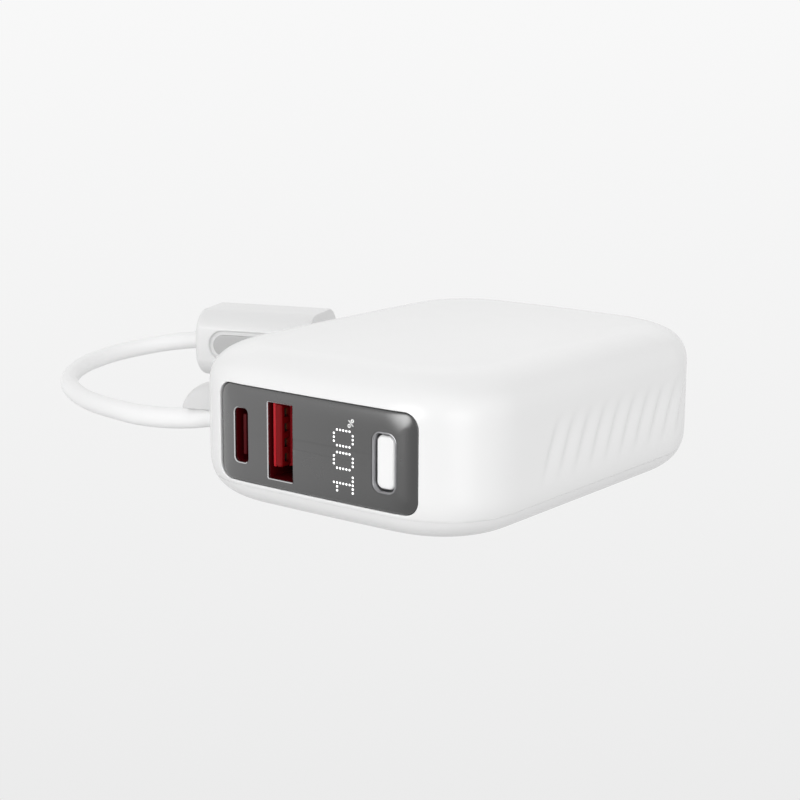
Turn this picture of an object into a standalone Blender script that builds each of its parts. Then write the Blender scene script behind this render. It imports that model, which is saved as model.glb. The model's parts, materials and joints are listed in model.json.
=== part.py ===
"""Pocket power bank with a built-in lanyard cable.

The case lies flat: X runs along the front panel, Y to the back, +Z up, and the origin is
the middle of the case's underside. Blender units are metres; the constants are millimetres
times MM. Each physical piece is one object, and its name is the piece's name.
"""

import math

import bmesh
import bpy
from mathutils import Vector

MM = 0.001
GAP = 0.3 * MM  # between pieces that touch

# Case
CASE_WIDTH = 58.8 * MM
CASE_LENGTH = 76.8 * MM
CASE_HEIGHT = 26.9 * MM
WALL = 1.8 * MM
CORNER = 15.1 * MM  # plan corners
CORNER_POWER = 2.38  # 2 is a circle, more is squarer
CORNER_SHRINK = 0.6  # how much of an inset the plan corners lose
FRONT_BOW = 800 * MM  # radius that the ends bulge to
TOP_RUN, TOP_DROP, TOP_POWER, CROWN = 9.3 * MM, 7.1 * MM, 2.54, 0.95 * MM
BASE_RUN, BASE_RISE, BASE_POWER = 8.6 * MM, 8.0 * MM, 2.5
SEAM = 4.0 * MM
LIP_INSET, LIP_WALL, LIP_LOW, LIP_HIGH = 2.75 * MM, 0.9 * MM, 2.4 * MM, 5.3 * MM
RIM_SPARE = 1.5 * MM  # how far each half is made past the seam before it is cut flat

# Front panel, with its ports and its button
PANEL_WIDTH, PANEL_HEIGHT, PANEL_CORNER = 40.2 * MM, 15.9 * MM, 2.4 * MM
PANEL_THICK = 1.6 * MM
PANEL_Z = 12.8 * MM
PORT_CLEAR = 0.15 * MM  # between a port's shell and the panel
USB_A_X, USB_A_Z = -6.5 * MM, 12.65 * MM
USB_A_WIDE, USB_A_TALL, USB_A_WALL, USB_A_DEEP = 5.12 * MM, 12.5 * MM, 0.3 * MM, 13.0 * MM
TONGUE_LOW, TONGUE_HIGH, TONGUE_THICK = 8.3 * MM, 18.5 * MM, 1.84 * MM
USB_C_X, USB_C_Z = -14.89 * MM, 12.56 * MM
USB_C_WIDE, USB_C_TALL, USB_C_WALL, USB_C_DEEP = 2.84 * MM, 9.0 * MM, 0.25 * MM, 8.2 * MM
USB_C_CORNER = 0.85 * MM
BUTTON_X, BUTTON_Z = 14.38 * MM, 12.55 * MM
BUTTON_WIDE, BUTTON_TALL, BUTTON_CORNER, BUTTON_SUNK = 3.5 * MM, 8.45 * MM, 1.15 * MM, 0.4 * MM
RING_WIDE, RING_TALL, RING_CORNER = 4.75 * MM, 9.7 * MM, 1.65 * MM
DISPLAY_X, DISPLAY_Z, DISPLAY_WIDE, DISPLAY_TALL = 6.5 * MM, 12.75 * MM, 6.2 * MM, 12.4 * MM

# Layers behind the panel, as distances from the case's front surface
GASKET_FRONT, GASKET_THICK, GASKET_BAND = 1.75 * MM, 0.5 * MM, 0.95 * MM
FRAME_FRONT, FRAME_THICK = 2.4 * MM, 1.2 * MM

# Boards, as Y of their faces
DISPLAY_BOARD_Y, DISPLAY_BOARD_THICK = -33.0 * MM, 1.0 * MM
MAIN_BOARD_Y, MAIN_BOARD_THICK, MAIN_BOARD_HALF = -22.6 * MM, 1.2 * MM, 26.4 * MM
MAIN_BOARD_LOW, MAIN_BOARD_HIGH = 5.8 * MM, 20.5 * MM

# Cells and the frame around them
CELL_HALF, CELL_FRONT, CELL_BACK = 22.5 * MM, -18.5 * MM, 31.0 * MM
CELL_THICK, CELL_LOW, CELL_PITCH, CELL_ROUND = 9.6 * MM, 3.4 * MM, 10.6 * MM, 2.2 * MM
RACK_WALL, RACK_LOW, RACK_HIGH = 1.2 * MM, 5.8 * MM, 20.5 * MM
BOSS_X, BOSS_Z, BOSS_RADIUS = 25.2 * MM, 12.7 * MM, 1.7 * MM

# Lanyard cable: where it leaves the case, and the way it lies
CABLE_RADIUS = 1.85 * MM
CABLE_EXIT = Vector((-28.2, -28.0, 11.9)) * MM
BOOT_WIDE, BOOT_TALL, BOOT_Z, BOOT_DEEP = 6.4 * MM, 9.4 * MM, 13.3 * MM, 3.0 * MM
BOOT_CORNER = 1.5 * MM
HOOD_LONG, HOOD_TALL, HOOD_WIDE = 7.6 * MM, 5.0 * MM, 4.8 * MM
CABLE_ROUTE = (
    (-28.6, -28.0, 11.9),
    (-31.6, -28.0, 11.5),
    (-35.5, -28.2, 10.7),
    (-42.0, -28.2, 9.8),
    (-50.0, -27.0, 9.0),
    (-57.5, -24.4, 8.3),
    (-65.0, -20.7, 7.3),
    (-73.0, -16.1, 6.1),
    (-81.0, -11.0, 4.9),
    (-89.0, -5.6, 3.8),
    (-96.5, -0.2, 2.9),
    (-103.0, 4.8, 2.2),
    (-108.5, 9.8, 1.95),
    (-112.8, 14.9, 2.0),
    (-115.4, 20.2, 2.5),
    (-116.2, 25.8, 3.1),
    (-115.1, 30.9, 3.9),
    (-112.1, 35.8, 4.8),
    (-108.0, 39.2, 5.7),
    (-103.5, 41.6, 6.4),
    (-99.4, 43.12, 6.9),
)
CABLE_POINTS = 26

# Cable's plug, in its own frame: X along the plug, from its cable end at 0
PLUG_LONG, PLUG_TALL, PLUG_THICK = 27.0 * MM, 14.6 * MM, 17.6 * MM
PLUG_AT = Vector((-98.98, 43.27, 0.05)) * MM
PLUG_TURN = math.radians(19.7)
PLUG_EDGE_RUN, PLUG_EDGE_DROP, PLUG_END_ROUND = 4.1 * MM, 3.8 * MM, 2.0 * MM
GRIP_LONG, GRIP_TALL, GRIP_DEEP = 20.0 * MM, 6.5 * MM, 0.9 * MM
GRIP_MARGIN = 1.2 * MM
TIP_WIDE, TIP_TALL, TIP_LONG = 8.25 * MM, 2.4 * MM, 6.5 * MM

LOOKS = {
    "case_white": ((0.90, 0.90, 0.90), 0.35, 0.0),
    "panel_grey": ((0.10, 0.10, 0.105), 0.22, 0.0),
    "ring_silver": ((0.75, 0.76, 0.77), 0.22, 1.0),
    "button_white": ((0.94, 0.94, 0.94), 0.25, 0.0),
    "steel": ((0.72, 0.72, 0.73), 0.28, 1.0),
    "port_red": ((0.42, 0.01, 0.02), 0.35, 0.0),
    "contact_gold": ((0.85, 0.62, 0.28), 0.25, 1.0),
    "inner_black": ((0.03, 0.03, 0.03), 0.55, 0.0),
    "board_green": ((0.02, 0.16, 0.09), 0.45, 0.0),
    "foam_grey": ((0.12, 0.12, 0.13), 0.95, 0.0),
    "cell_silver": ((0.62, 0.63, 0.65), 0.38, 0.6),
    "nickel": ((0.66, 0.64, 0.60), 0.30, 1.0),
    "lead_red": ((0.55, 0.03, 0.03), 0.45, 0.0),
    "lead_black": ((0.03, 0.03, 0.03), 0.45, 0.0),
    "cable_white": ((0.88, 0.88, 0.88), 0.45, 0.0),
    "grip_grey": ((0.62, 0.63, 0.64), 0.45, 0.0),
}


# ---------------------------------------------------------------- scene and materials

def clear_scene():
    for obj in list(bpy.data.objects):
        bpy.data.objects.remove(obj, do_unlink=True)


def new_collection(name):
    made = bpy.data.collections.new(name)
    bpy.context.scene.collection.children.link(made)
    return made


def new_material(name):
    color, roughness, metallic = LOOKS[name]
    made = bpy.data.materials.new(name)
    made.use_nodes = True
    shader = made.node_tree.nodes["Principled BSDF"]
    shader.inputs["Base Color"].default_value = (*color, 1.0)
    shader.inputs["Roughness"].default_value = roughness
    shader.inputs["Metallic"].default_value = metallic
    made.diffuse_color = (*color, 1.0)
    return made


def add_object(name, bm, look=None, origin=(0.0, 0.0, 0.0)):
    """A part from a bmesh, or a cutter if it has no look; origin is where its own origin goes."""
    bmesh.ops.translate(bm, verts=bm.verts, vec=-Vector(origin))
    bmesh.ops.recalc_face_normals(bm, faces=bm.faces)
    mesh = bpy.data.meshes.new(name)
    bm.to_mesh(mesh)
    bm.free()
    return add_mesh(name, mesh, look, origin)


def add_mesh(name, mesh, look, origin=(0.0, 0.0, 0.0)):
    obj = bpy.data.objects.new(name, mesh)
    obj.location = origin
    if look is None:
        cutters.objects.link(obj)
        obj.hide_render = True
        obj.display_type = "WIRE"
    else:
        parts.objects.link(obj)
        mesh.materials.append(materials[look])
        mesh.shade_smooth()
        mesh.set_sharp_from_angle(angle=math.radians(35))
    return obj


# ---------------------------------------------------------------- modifiers

def solidify(obj, thickness):
    """Thickness grows inwards from the surface."""
    made = obj.modifiers.new("wall", "SOLIDIFY")
    made.thickness = thickness
    made.offset = -1.0
    made.use_even_offset = True


def boolean(obj, other, operation):
    made = obj.modifiers.new(other.name, "BOOLEAN")
    made.operation = operation
    made.solver = "EXACT"
    made.object = other


def cut(obj, *others):
    for other in others:
        boolean(obj, other, "DIFFERENCE")


def join(obj, *others):
    for other in others:
        boolean(obj, other, "UNION")


def bevel(obj, width, segments=2, angle=50):
    made = obj.modifiers.new("edges", "BEVEL")
    made.width = width
    made.segments = segments
    made.limit_method = "ANGLE"
    made.angle_limit = math.radians(angle)


# ---------------------------------------------------------------- outlines and basic solids

def rounded_rectangle(width, height, radius, centre=(0.0, 0.0), steps=4):
    """Corner arcs of a rectangle, anticlockwise."""
    points = []
    for quarter in range(4):
        side_x = 1 if quarter in (0, 3) else -1
        side_y = 1 if quarter in (0, 1) else -1
        for i in range(steps + 1):
            turn = math.radians(90 * (quarter + i / steps))
            points.append((
                centre[0] + side_x * (width / 2 - radius) + radius * math.cos(turn),
                centre[1] + side_y * (height / 2 - radius) + radius * math.sin(turn),
            ))
    return points


def pill(width, height, centre=(0.0, 0.0), steps=6):
    return rounded_rectangle(width, height, min(width, height) * 0.4999, centre, steps)


def swap_axes(u, v, along, axis):
    """A point of an outline in the plane square to an axis, at a distance along it."""
    return {"X": (along, u, v), "Y": (u, along, v), "Z": (u, v, along)}[axis]


def prism(outline, axis, low, high):
    """The outline, drawn square to the axis, pulled from low to high along it."""
    bm = bmesh.new()
    face = bm.faces.new([bm.verts.new(swap_axes(u, v, low, axis)) for u, v in outline])
    pulled = bmesh.ops.extrude_face_region(bm, geom=[face])
    moved = [e for e in pulled["geom"] if isinstance(e, bmesh.types.BMVert)]
    bmesh.ops.translate(bm, verts=moved, vec=swap_axes(0.0, 0.0, high - low, axis))
    return bm


def cuboid(low, high):
    bm = bmesh.new()
    bmesh.ops.create_cube(bm, size=1.0)
    low, high = Vector(low), Vector(high)
    bmesh.ops.scale(bm, verts=bm.verts, vec=high - low)
    bmesh.ops.translate(bm, verts=bm.verts, vec=(low + high) / 2)
    return bm


def rod_y(radius, x, z, low, high, sides=16):
    """A cylinder along Y."""
    circle = [
        (x + radius * math.cos(math.tau * i / sides), z + radius * math.sin(math.tau * i / sides))
        for i in range(sides)
    ]
    return prism(circle, "Y", low, high)


def loft(rows, cap_first=False, cap_last=False):
    """A skin through closed rows of points, each with the same number of points."""
    bm = bmesh.new()
    rings = [[bm.verts.new(point) for point in row] for row in rows]
    for ring, following in zip(rings, rings[1:]):
        for i, vert in enumerate(ring):
            after = (i + 1) % len(ring)
            bm.faces.new((vert, ring[after], following[after], following[i]))
    if cap_first:
        bm.faces.new(list(reversed(rings[0])))
    if cap_last:
        bm.faces.new(rings[-1])
    return bm


def smooth_line(route, count):
    """Evenly spaced points on a Catmull-Rom curve through the route's points."""
    knots = [Vector(point) * MM for point in route]
    ends = [2 * knots[0] - knots[1], *knots, 2 * knots[-1] - knots[-2]]
    fine = [knots[0]]
    for a, b, c, d in zip(ends, ends[1:], ends[2:], ends[3:]):
        for i in range(1, 21):
            t = i / 20
            fine.append(0.5 * (
                2 * b + (c - a) * t + (2 * a - 5 * b + 4 * c - d) * t ** 2
                + (3 * b - a - 3 * c + d) * t ** 3
            ))
    reached = [0.0]
    for before, after in zip(fine, fine[1:]):
        reached.append(reached[-1] + (after - before).length)
    line, k = [], 0
    for i in range(count):
        target = reached[-1] * i / (count - 1)
        while k < len(fine) - 2 and reached[k + 1] < target:
            k += 1
        share = (target - reached[k]) / (reached[k + 1] - reached[k])
        line.append(fine[k].lerp(fine[k + 1], share))
    return line


def add_tube(name, line, radius, look):
    curve = bpy.data.curves.new(name, "CURVE")
    curve.dimensions = "3D"
    curve.bevel_depth = radius
    curve.bevel_resolution = 2
    curve.use_fill_caps = True
    spline = curve.splines.new("POLY")
    spline.points.add(len(line) - 1)
    for point, place in zip(spline.points, line):
        point.co = (*place, 1.0)
    curve.materials.append(materials[look])
    obj = bpy.data.objects.new(name, curve)
    parts.objects.link(obj)
    return obj


# ---------------------------------------------------------------- the case's form

def squarish(turn, power):
    """Cosine and sine of a turn, bulged towards a square."""
    def bulge(value):
        return math.copysign(abs(value) ** (2 / power), value)
    return bulge(math.cos(turn)), bulge(math.sin(turn))


def bowed(x, y):
    """Y moved in by the bulge of the front and back ends."""
    return y * (1 - x * x / (2 * FRONT_BOW) / (CASE_LENGTH / 2))


def case_ring(inset, z, scale=1.0, corner_steps=6, end_steps=4):
    """The case's plan outline at a height, anticlockwise from the middle of its +X side."""
    half_x, half_y = CASE_WIDTH / 2 - inset, CASE_LENGTH / 2 - inset
    corner = CORNER - CORNER_SHRINK * inset
    ring = []
    for quarter in range(4):
        side_x = 1 if quarter in (0, 3) else -1
        side_y = 1 if quarter in (0, 1) else -1
        for i in range(corner_steps + 1):
            across, along = squarish(math.radians(90 * (quarter + i / corner_steps)), CORNER_POWER)
            ring.append((side_x * (half_x - corner) + corner * across,
                         side_y * (half_y - corner) + corner * along))
        if quarter in (0, 2):
            last, reach = ring[-1], -side_x * (half_x - corner)
            for i in range(1, end_steps):
                ring.append((last[0] + (reach - last[0]) * i / end_steps, last[1]))
    return [(x * scale, bowed(x, y) * scale, z) for x, y in ring]


def front_surface(x):
    """Y of the case's front surface at half height."""
    over = max(abs(x) - (CASE_WIDTH / 2 - CORNER), 0.0) / CORNER
    drop = CORNER * (1 - (1 - over ** CORNER_POWER) ** (1 / CORNER_POWER))
    return bowed(x, drop - CASE_LENGTH / 2)


def base_row(turn):
    across, up = squarish(turn, BASE_POWER)
    return BASE_RUN * (1 - across), BASE_RISE * (1 - up)


def crowned(ring):
    """A ring lifted by the gentle crown that the whole top bulges to."""
    return [
        (x, y, z + CROWN * (1 - (2 * x / CASE_WIDTH) ** 2) * (1 - (2 * y / CASE_LENGTH) ** 2))
        for x, y, z in ring
    ]


def top_row(turn, scale=1.0):
    across, up = squarish(turn, TOP_POWER)
    height = CASE_HEIGHT - CROWN - TOP_DROP * (1 - up)
    return crowned(case_ring(TOP_RUN * (1 - across), height, scale))


def seam_turn(height):
    """The turn of the base roll that lies at a height."""
    return math.asin((1 - height / BASE_RISE) ** (BASE_POWER / 2))


def spread(first, last, steps):
    return [first + (last - first) * i / steps for i in range(steps + 1)]


def half_space(low, high):
    """A block wider than the case, to cut a rim flat."""
    reach = CASE_LENGTH
    return add_object("rim_cutter", cuboid((-reach, -reach, low), (reach, reach, high)))


def make_bottom_cover():
    turns = spread(math.pi / 2, seam_turn(SEAM + RIM_SPARE), 7)
    cover = add_object(
        "bottom_cover", loft([case_ring(*base_row(t)) for t in turns], cap_first=True), "case_white"
    )
    solidify(cover, WALL)
    cut(cover, half_space(SEAM - GAP / 2, CASE_HEIGHT))
    lip_rows = [case_ring(LIP_INSET, z) for z in (LIP_LOW, LIP_HIGH)]
    lip = add_object("lip_cutter", loft(lip_rows))
    solidify(lip, LIP_WALL)
    join(cover, lip)
    cut(cover, window_cutter())


def window_cutter():
    """The panel's opening, kept clear through the lip as well."""
    outline = rounded_rectangle(
        PANEL_WIDTH + 2 * GAP, PANEL_HEIGHT + 2 * GAP, PANEL_CORNER + GAP, (0.0, PANEL_Z)
    )
    return add_object(
        "window_cutter", prism(outline, "Y", -CASE_LENGTH / 2 - 5 * MM, -CASE_LENGTH / 2 + 6 * MM)
    )


def make_upper_shell():
    rows = [case_ring(*base_row(t)) for t in spread(seam_turn(SEAM - RIM_SPARE), 0.0, 5)]
    rows += [top_row(t) for t in spread(0.0, math.pi / 2, 8)]
    rows += [top_row(math.pi / 2, scale) for scale in (0.66, 0.33, 0.05)]
    shell = add_object("upper_shell", loft(rows, cap_last=True), "case_white")
    solidify(shell, WALL)
    hole = add_object("cable_hole_cutter", prism(
        boot_outline(GAP), "X", -CASE_WIDTH, -CASE_WIDTH / 2 + 6 * MM
    ))
    cut(shell, half_space(-CASE_HEIGHT, SEAM + GAP / 2), window_cutter(), hole)


# ---------------------------------------------------------------- front panel and its layers

def bent_plate(outline, behind):
    """A sheet with an XZ outline that follows the case's front, a distance behind it."""
    bm = bmesh.new()
    bm.faces.new([bm.verts.new((x, 0.0, z)) for x, z in outline])
    reach = max(x for x, _ in outline)
    for x in spread(-reach, reach, 12)[1:-1]:
        bmesh.ops.bisect_plane(
            bm, geom=[*bm.verts, *bm.edges, *bm.faces], plane_co=(x, 0.0, 0.0), plane_no=(1.0, 0.0, 0.0)
        )
    for vert in bm.verts:
        vert.co.y = front_surface(vert.co.x) + behind
    return bm


def face_forward(obj):
    """Turns an open sheet's faces to the front, so that Solidify thickens it backwards."""
    if sum(face.normal.y for face in obj.data.polygons) > 0:
        obj.data.flip_normals()


def port_cutters(clear):
    """Openings for the two ports, with a clearance round their shells."""
    usb_a = rounded_rectangle(
        USB_A_WIDE + 2 * (USB_A_WALL + clear), USB_A_TALL + 2 * (USB_A_WALL + clear),
        0.6 * MM, (USB_A_X, USB_A_Z), 2,
    )
    usb_c = usb_c_outline(USB_C_WALL + clear)
    return [add_object("port_cutter", prism(outline, "Y", -CASE_LENGTH / 2 - 2 * MM, -30 * MM))
            for outline in (usb_a, usb_c)]


def usb_c_outline(grown):
    """The USB-C opening's outline, grown by a size."""
    return rounded_rectangle(USB_C_WIDE + 2 * grown, USB_C_TALL + 2 * grown,
                             max(USB_C_CORNER + grown, 0.5 * MM), (USB_C_X, USB_C_Z), 4)


def button_outline(grown):
    """The button's outline, grown by a size."""
    return rounded_rectangle(BUTTON_WIDE + 2 * grown, BUTTON_TALL + 2 * grown,
                             BUTTON_CORNER + grown, (BUTTON_X, BUTTON_Z), 5)


def ring_outline(grown):
    """The outline of the ring round the button, grown by a size."""
    return rounded_rectangle(RING_WIDE + 2 * grown, RING_TALL + 2 * grown,
                             RING_CORNER + grown, (BUTTON_X, BUTTON_Z), 5)


def button_cutter(outline, low, high):
    return add_object("button_cutter", prism(outline, "Y", low, high))


def make_panel():
    outline = rounded_rectangle(PANEL_WIDTH, PANEL_HEIGHT, PANEL_CORNER, (0.0, PANEL_Z))
    panel = add_object("front_panel", bent_plate(outline, 0.0), "panel_grey")
    face_forward(panel)
    solidify(panel, PANEL_THICK)
    front = -CASE_LENGTH / 2
    cut(panel, *port_cutters(PORT_CLEAR),
        button_cutter(ring_outline(PORT_CLEAR), front - MM, front + 4 * MM))


def make_gasket():
    outer = rounded_rectangle(
        PANEL_WIDTH - 2 * GAP, PANEL_HEIGHT - 2 * GAP, PANEL_CORNER - GAP, (0.0, PANEL_Z)
    )
    gasket = add_object("panel_gasket", bent_plate(outer, GASKET_FRONT), "foam_grey")
    face_forward(gasket)
    solidify(gasket, GASKET_THICK)
    inner = rounded_rectangle(
        PANEL_WIDTH - 2 * GASKET_BAND, PANEL_HEIGHT - 2 * GASKET_BAND, MM, (0.0, PANEL_Z), 2
    )
    front = -CASE_LENGTH / 2
    cut(gasket, add_object("gasket_cutter", prism(inner, "Y", front, front + 5 * MM)))


def make_panel_frame():
    outline = rounded_rectangle(PANEL_WIDTH + 2 * MM, PANEL_HEIGHT - MM, PANEL_CORNER, (0.0, PANEL_Z), 2)
    frame = add_object("panel_frame", bent_plate(outline, FRAME_FRONT), "inner_black")
    face_forward(frame)
    solidify(frame, FRAME_THICK)
    front = -CASE_LENGTH / 2
    display = rounded_rectangle(
        DISPLAY_WIDE + 2 * GAP, DISPLAY_TALL + 2 * GAP, 0.5 * MM, (DISPLAY_X, DISPLAY_Z), 1
    )
    cut(frame, *port_cutters(GAP),
        button_cutter(ring_outline(0.6 * MM), front, front + 6 * MM),
        add_object("display_cutter", prism(display, "Y", front, front + 6 * MM)))


def make_button():
    """The silver ring, the cap with its flange and stem, and the switch behind it."""
    front = front_surface(BUTTON_X)
    ring = add_object(
        "button_ring", prism(ring_outline(0.0), "Y", front, front + 1.75 * MM), "ring_silver"
    )
    bore = ((0.52 * MM, front - 0.1 * MM), (0.15 * MM, front + 0.4 * MM), (0.15 * MM, front + 3 * MM))
    rows = [[(x, y, z) for x, z in button_outline(clear)] for clear, y in bore]
    cut(ring, add_object("ring_bore_cutter", loft(rows, cap_first=True, cap_last=True)))

    flange_front, flange_back = front + 2.05 * MM, front + 2.65 * MM
    stem_end = front + 3.5 * MM
    origin = (BUTTON_X, front + BUTTON_SUNK, BUTTON_Z)
    cap = add_object(
        "power_button",
        prism(button_outline(0.0), "Y", front + BUTTON_SUNK, flange_front + 0.2 * MM),
        "button_white", origin,
    )
    flange = button_cutter(button_outline(0.7 * MM), flange_front, flange_back)
    stem = add_object("stem_cutter", rod_y(MM, BUTTON_X, BUTTON_Z, flange_back - 0.2 * MM, stem_end))
    join(cap, flange, stem)

    plunger_front = stem_end + 0.1 * MM
    body_front, body_back = plunger_front + 0.35 * MM, DISPLAY_BOARD_Y - 0.2 * MM
    add_object(
        "switch_plunger",
        rod_y(0.7 * MM, BUTTON_X, BUTTON_Z, plunger_front, plunger_front + 0.65 * MM, 12),
        "inner_black", (BUTTON_X, plunger_front, BUTTON_Z),
    )
    half = 1.6 * MM
    switch = add_object(
        "tact_switch",
        cuboid((BUTTON_X - half, body_front, BUTTON_Z - half), (BUTTON_X + half, body_back, BUTTON_Z + half)),
        "steel",
    )
    cut(switch, add_object(
        "switch_bore_cutter",
        rod_y(0.95 * MM, BUTTON_X, BUTTON_Z, body_front - MM, body_front + 0.85 * MM, 12),
    ))


def make_display():
    front = front_surface(DISPLAY_X) + PANEL_THICK + GAP
    half_x, half_z = DISPLAY_WIDE / 2, DISPLAY_TALL / 2
    display = add_object(
        "digit_display",
        cuboid((DISPLAY_X - half_x, front, DISPLAY_Z - half_z),
               (DISPLAY_X + half_x, DISPLAY_BOARD_Y - GAP, DISPLAY_Z + half_z)),
        "inner_black",
    )
    bevel(display, 0.2 * MM, 1)
    add_object(
        "display_board",
        cuboid((1.5 * MM, DISPLAY_BOARD_Y, 5.2 * MM),
               (19.0 * MM, DISPLAY_BOARD_Y + DISPLAY_BOARD_THICK, 20.2 * MM)),
        "board_green",
    )


# ---------------------------------------------------------------- ports

def port_shell(name, outline, hollow, front, back):
    shell = add_object(name, prism(outline, "Y", front, back), "steel")
    cut(shell, add_object("port_hollow_cutter", prism(hollow, "Y", front - MM, back + MM)))


def contact_comb(name, x, z, count, pitch, width, thick, front, back):
    """Contact fingers along Y, side by side in Z, on one bar at the back."""
    bar_half = (count - 1) * pitch / 2 + width / 2
    comb = add_object(
        name, cuboid((x, back - MM, z - bar_half), (x + thick, back, z + bar_half)), "contact_gold"
    )
    for i in range(count):
        low = z + (i - (count - 1) / 2) * pitch - width / 2
        join(comb, add_object(
            "finger_cutter", cuboid((x, front, low), (x + thick, back - 0.5 * MM, low + width))
        ))


def make_usb_a():
    centre = (USB_A_X, USB_A_Z)
    front = front_surface(USB_A_X)
    back = front + USB_A_DEEP
    port_shell(
        "usb_a_shell",
        rounded_rectangle(USB_A_WIDE + 2 * USB_A_WALL, USB_A_TALL + 2 * USB_A_WALL, 0.45 * MM, centre, 2),
        rounded_rectangle(USB_A_WIDE, USB_A_TALL, 0.2 * MM, centre, 2), front, back,
    )
    inside = USB_A_WIDE / 2 - 0.15 * MM
    base_front = back - 1.8 * MM
    tongue_left = USB_A_X - USB_A_WIDE / 2 + 0.6 * MM
    tongue_right = tongue_left + TONGUE_THICK
    base = add_object(
        "usb_a_tongue",
        cuboid((USB_A_X - inside, base_front, USB_A_Z - USB_A_TALL / 2 + 0.2 * MM),
               (USB_A_X + inside, back - 0.1 * MM, USB_A_Z + USB_A_TALL / 2 - 0.2 * MM)),
        "port_red",
    )
    join(base, add_object("tongue_cutter", cuboid(
        (tongue_left, front + 0.5 * MM, TONGUE_LOW),
        (tongue_right, base_front + 0.5 * MM, TONGUE_HIGH),
    )))
    contact_comb("usb_a_contacts", tongue_right + 0.2 * MM, (TONGUE_LOW + TONGUE_HIGH) / 2, 4, 2.3 * MM,
                 MM, 0.25 * MM, front + 1.4 * MM, base_front - GAP)


def make_usb_c():
    front = front_surface(USB_C_X)
    back = front + USB_C_DEEP
    port_shell(
        "usb_c_shell",
        usb_c_outline(USB_C_WALL), usb_c_outline(0.0), front, back,
    )
    base_front = back - 1.5 * MM
    base = add_object(
        "usb_c_tongue",
        prism(usb_c_outline(-0.2 * MM), "Y", base_front, back - 0.1 * MM),
        "port_red",
    )
    join(base, add_object("tongue_cutter", cuboid(
        (USB_C_X - 0.35 * MM, front + 0.9 * MM, USB_C_Z - 3.35 * MM),
        (USB_C_X + 0.35 * MM, base_front + 0.5 * MM, USB_C_Z + 3.35 * MM),
    )))
    contact_comb("usb_c_contacts", USB_C_X + 0.5 * MM, USB_C_Z, 6, MM, 0.4 * MM, 0.15 * MM,
                 front + 1.5 * MM, base_front - GAP)


# ---------------------------------------------------------------- boards and what they carry

def make_boards():
    main = add_object(
        "main_board",
        cuboid((-MAIN_BOARD_HALF, MAIN_BOARD_Y, MAIN_BOARD_LOW),
               (MAIN_BOARD_HALF, MAIN_BOARD_Y + MAIN_BOARD_THICK, MAIN_BOARD_HIGH)),
        "board_green",
    )
    for side in (-1, 1):
        cut(main, add_object("screw_hole_cutter", rod_y(
            1.05 * MM, side * BOSS_X, BOSS_Z, MAIN_BOARD_Y - MM, MAIN_BOARD_Y + 3 * MM, 12
        )))
    on_board = MAIN_BOARD_Y - GAP
    add_object(
        "port_board",
        cuboid((-12.4 * MM, -34.7 * MM, 5.3 * MM), (-11.2 * MM, on_board, 20.1 * MM)), "board_green",
    )
    add_object(
        "board_connector",
        cuboid((-10.9 * MM, on_board - 2.0 * MM, 8 * MM), (-8.6 * MM, on_board, 17 * MM)), "inner_black",
    )
    inductor = add_object(
        "power_inductor",
        cuboid((4.8 * MM, on_board - 4.2 * MM, 6.0 * MM), (12.2 * MM, on_board, 13.4 * MM)), "foam_grey",
    )
    bevel(inductor, 0.6 * MM)
    add_object(
        "controller_chip",
        cuboid((-7 * MM, on_board - 0.9 * MM, 9.6 * MM), (-MM, on_board, 15.6 * MM)), "inner_black",
    )
    add_object(
        "boost_transistor",
        cuboid((0.5 * MM, on_board - 1.1 * MM, 14.5 * MM), (5.5 * MM, on_board, 19.5 * MM)), "inner_black",
    )
    for number, z in enumerate((8.8 * MM, 16.6 * MM), 1):
        can = add_object(
            f"filter_capacitor_{number}", rod_y(2.6 * MM, 19.6 * MM, z, on_board - 5 * MM, on_board),
            "cell_silver",
        )
        bevel(can, 0.3 * MM, 1)
    posts = ((3.4 * MM, 7.6 * MM), (17.0 * MM, 12.6 * MM))
    board_back = DISPLAY_BOARD_Y + DISPLAY_BOARD_THICK + GAP
    for number, (x, z) in enumerate(posts, 1):
        add_object(f"board_post_{number}", rod_y(1.1 * MM, x, z, board_back, on_board, 12), "inner_black")


def make_screws():
    head_back = MAIN_BOARD_Y - GAP
    head_front = head_back - MM
    for name, side in (("board_screw_left", -1), ("board_screw_right", 1)):
        x = side * BOSS_X
        screw = add_object(name, rod_y(1.45 * MM, x, BOSS_Z, head_front, head_back), "steel")
        join(screw, add_object(
            "shank_cutter", rod_y(0.75 * MM, x, BOSS_Z, head_back - 0.5 * MM, head_back + 5.6 * MM, 12)
        ))
        for half_x, half_z in ((0.9 * MM, 0.2 * MM), (0.2 * MM, 0.9 * MM)):
            cut(screw, add_object("slot_cutter", cuboid(
                (x - half_x, head_front - MM, BOSS_Z - half_z),
                (x + half_x, head_front + 0.45 * MM, BOSS_Z + half_z),
            )))


# ---------------------------------------------------------------- cells

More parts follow.
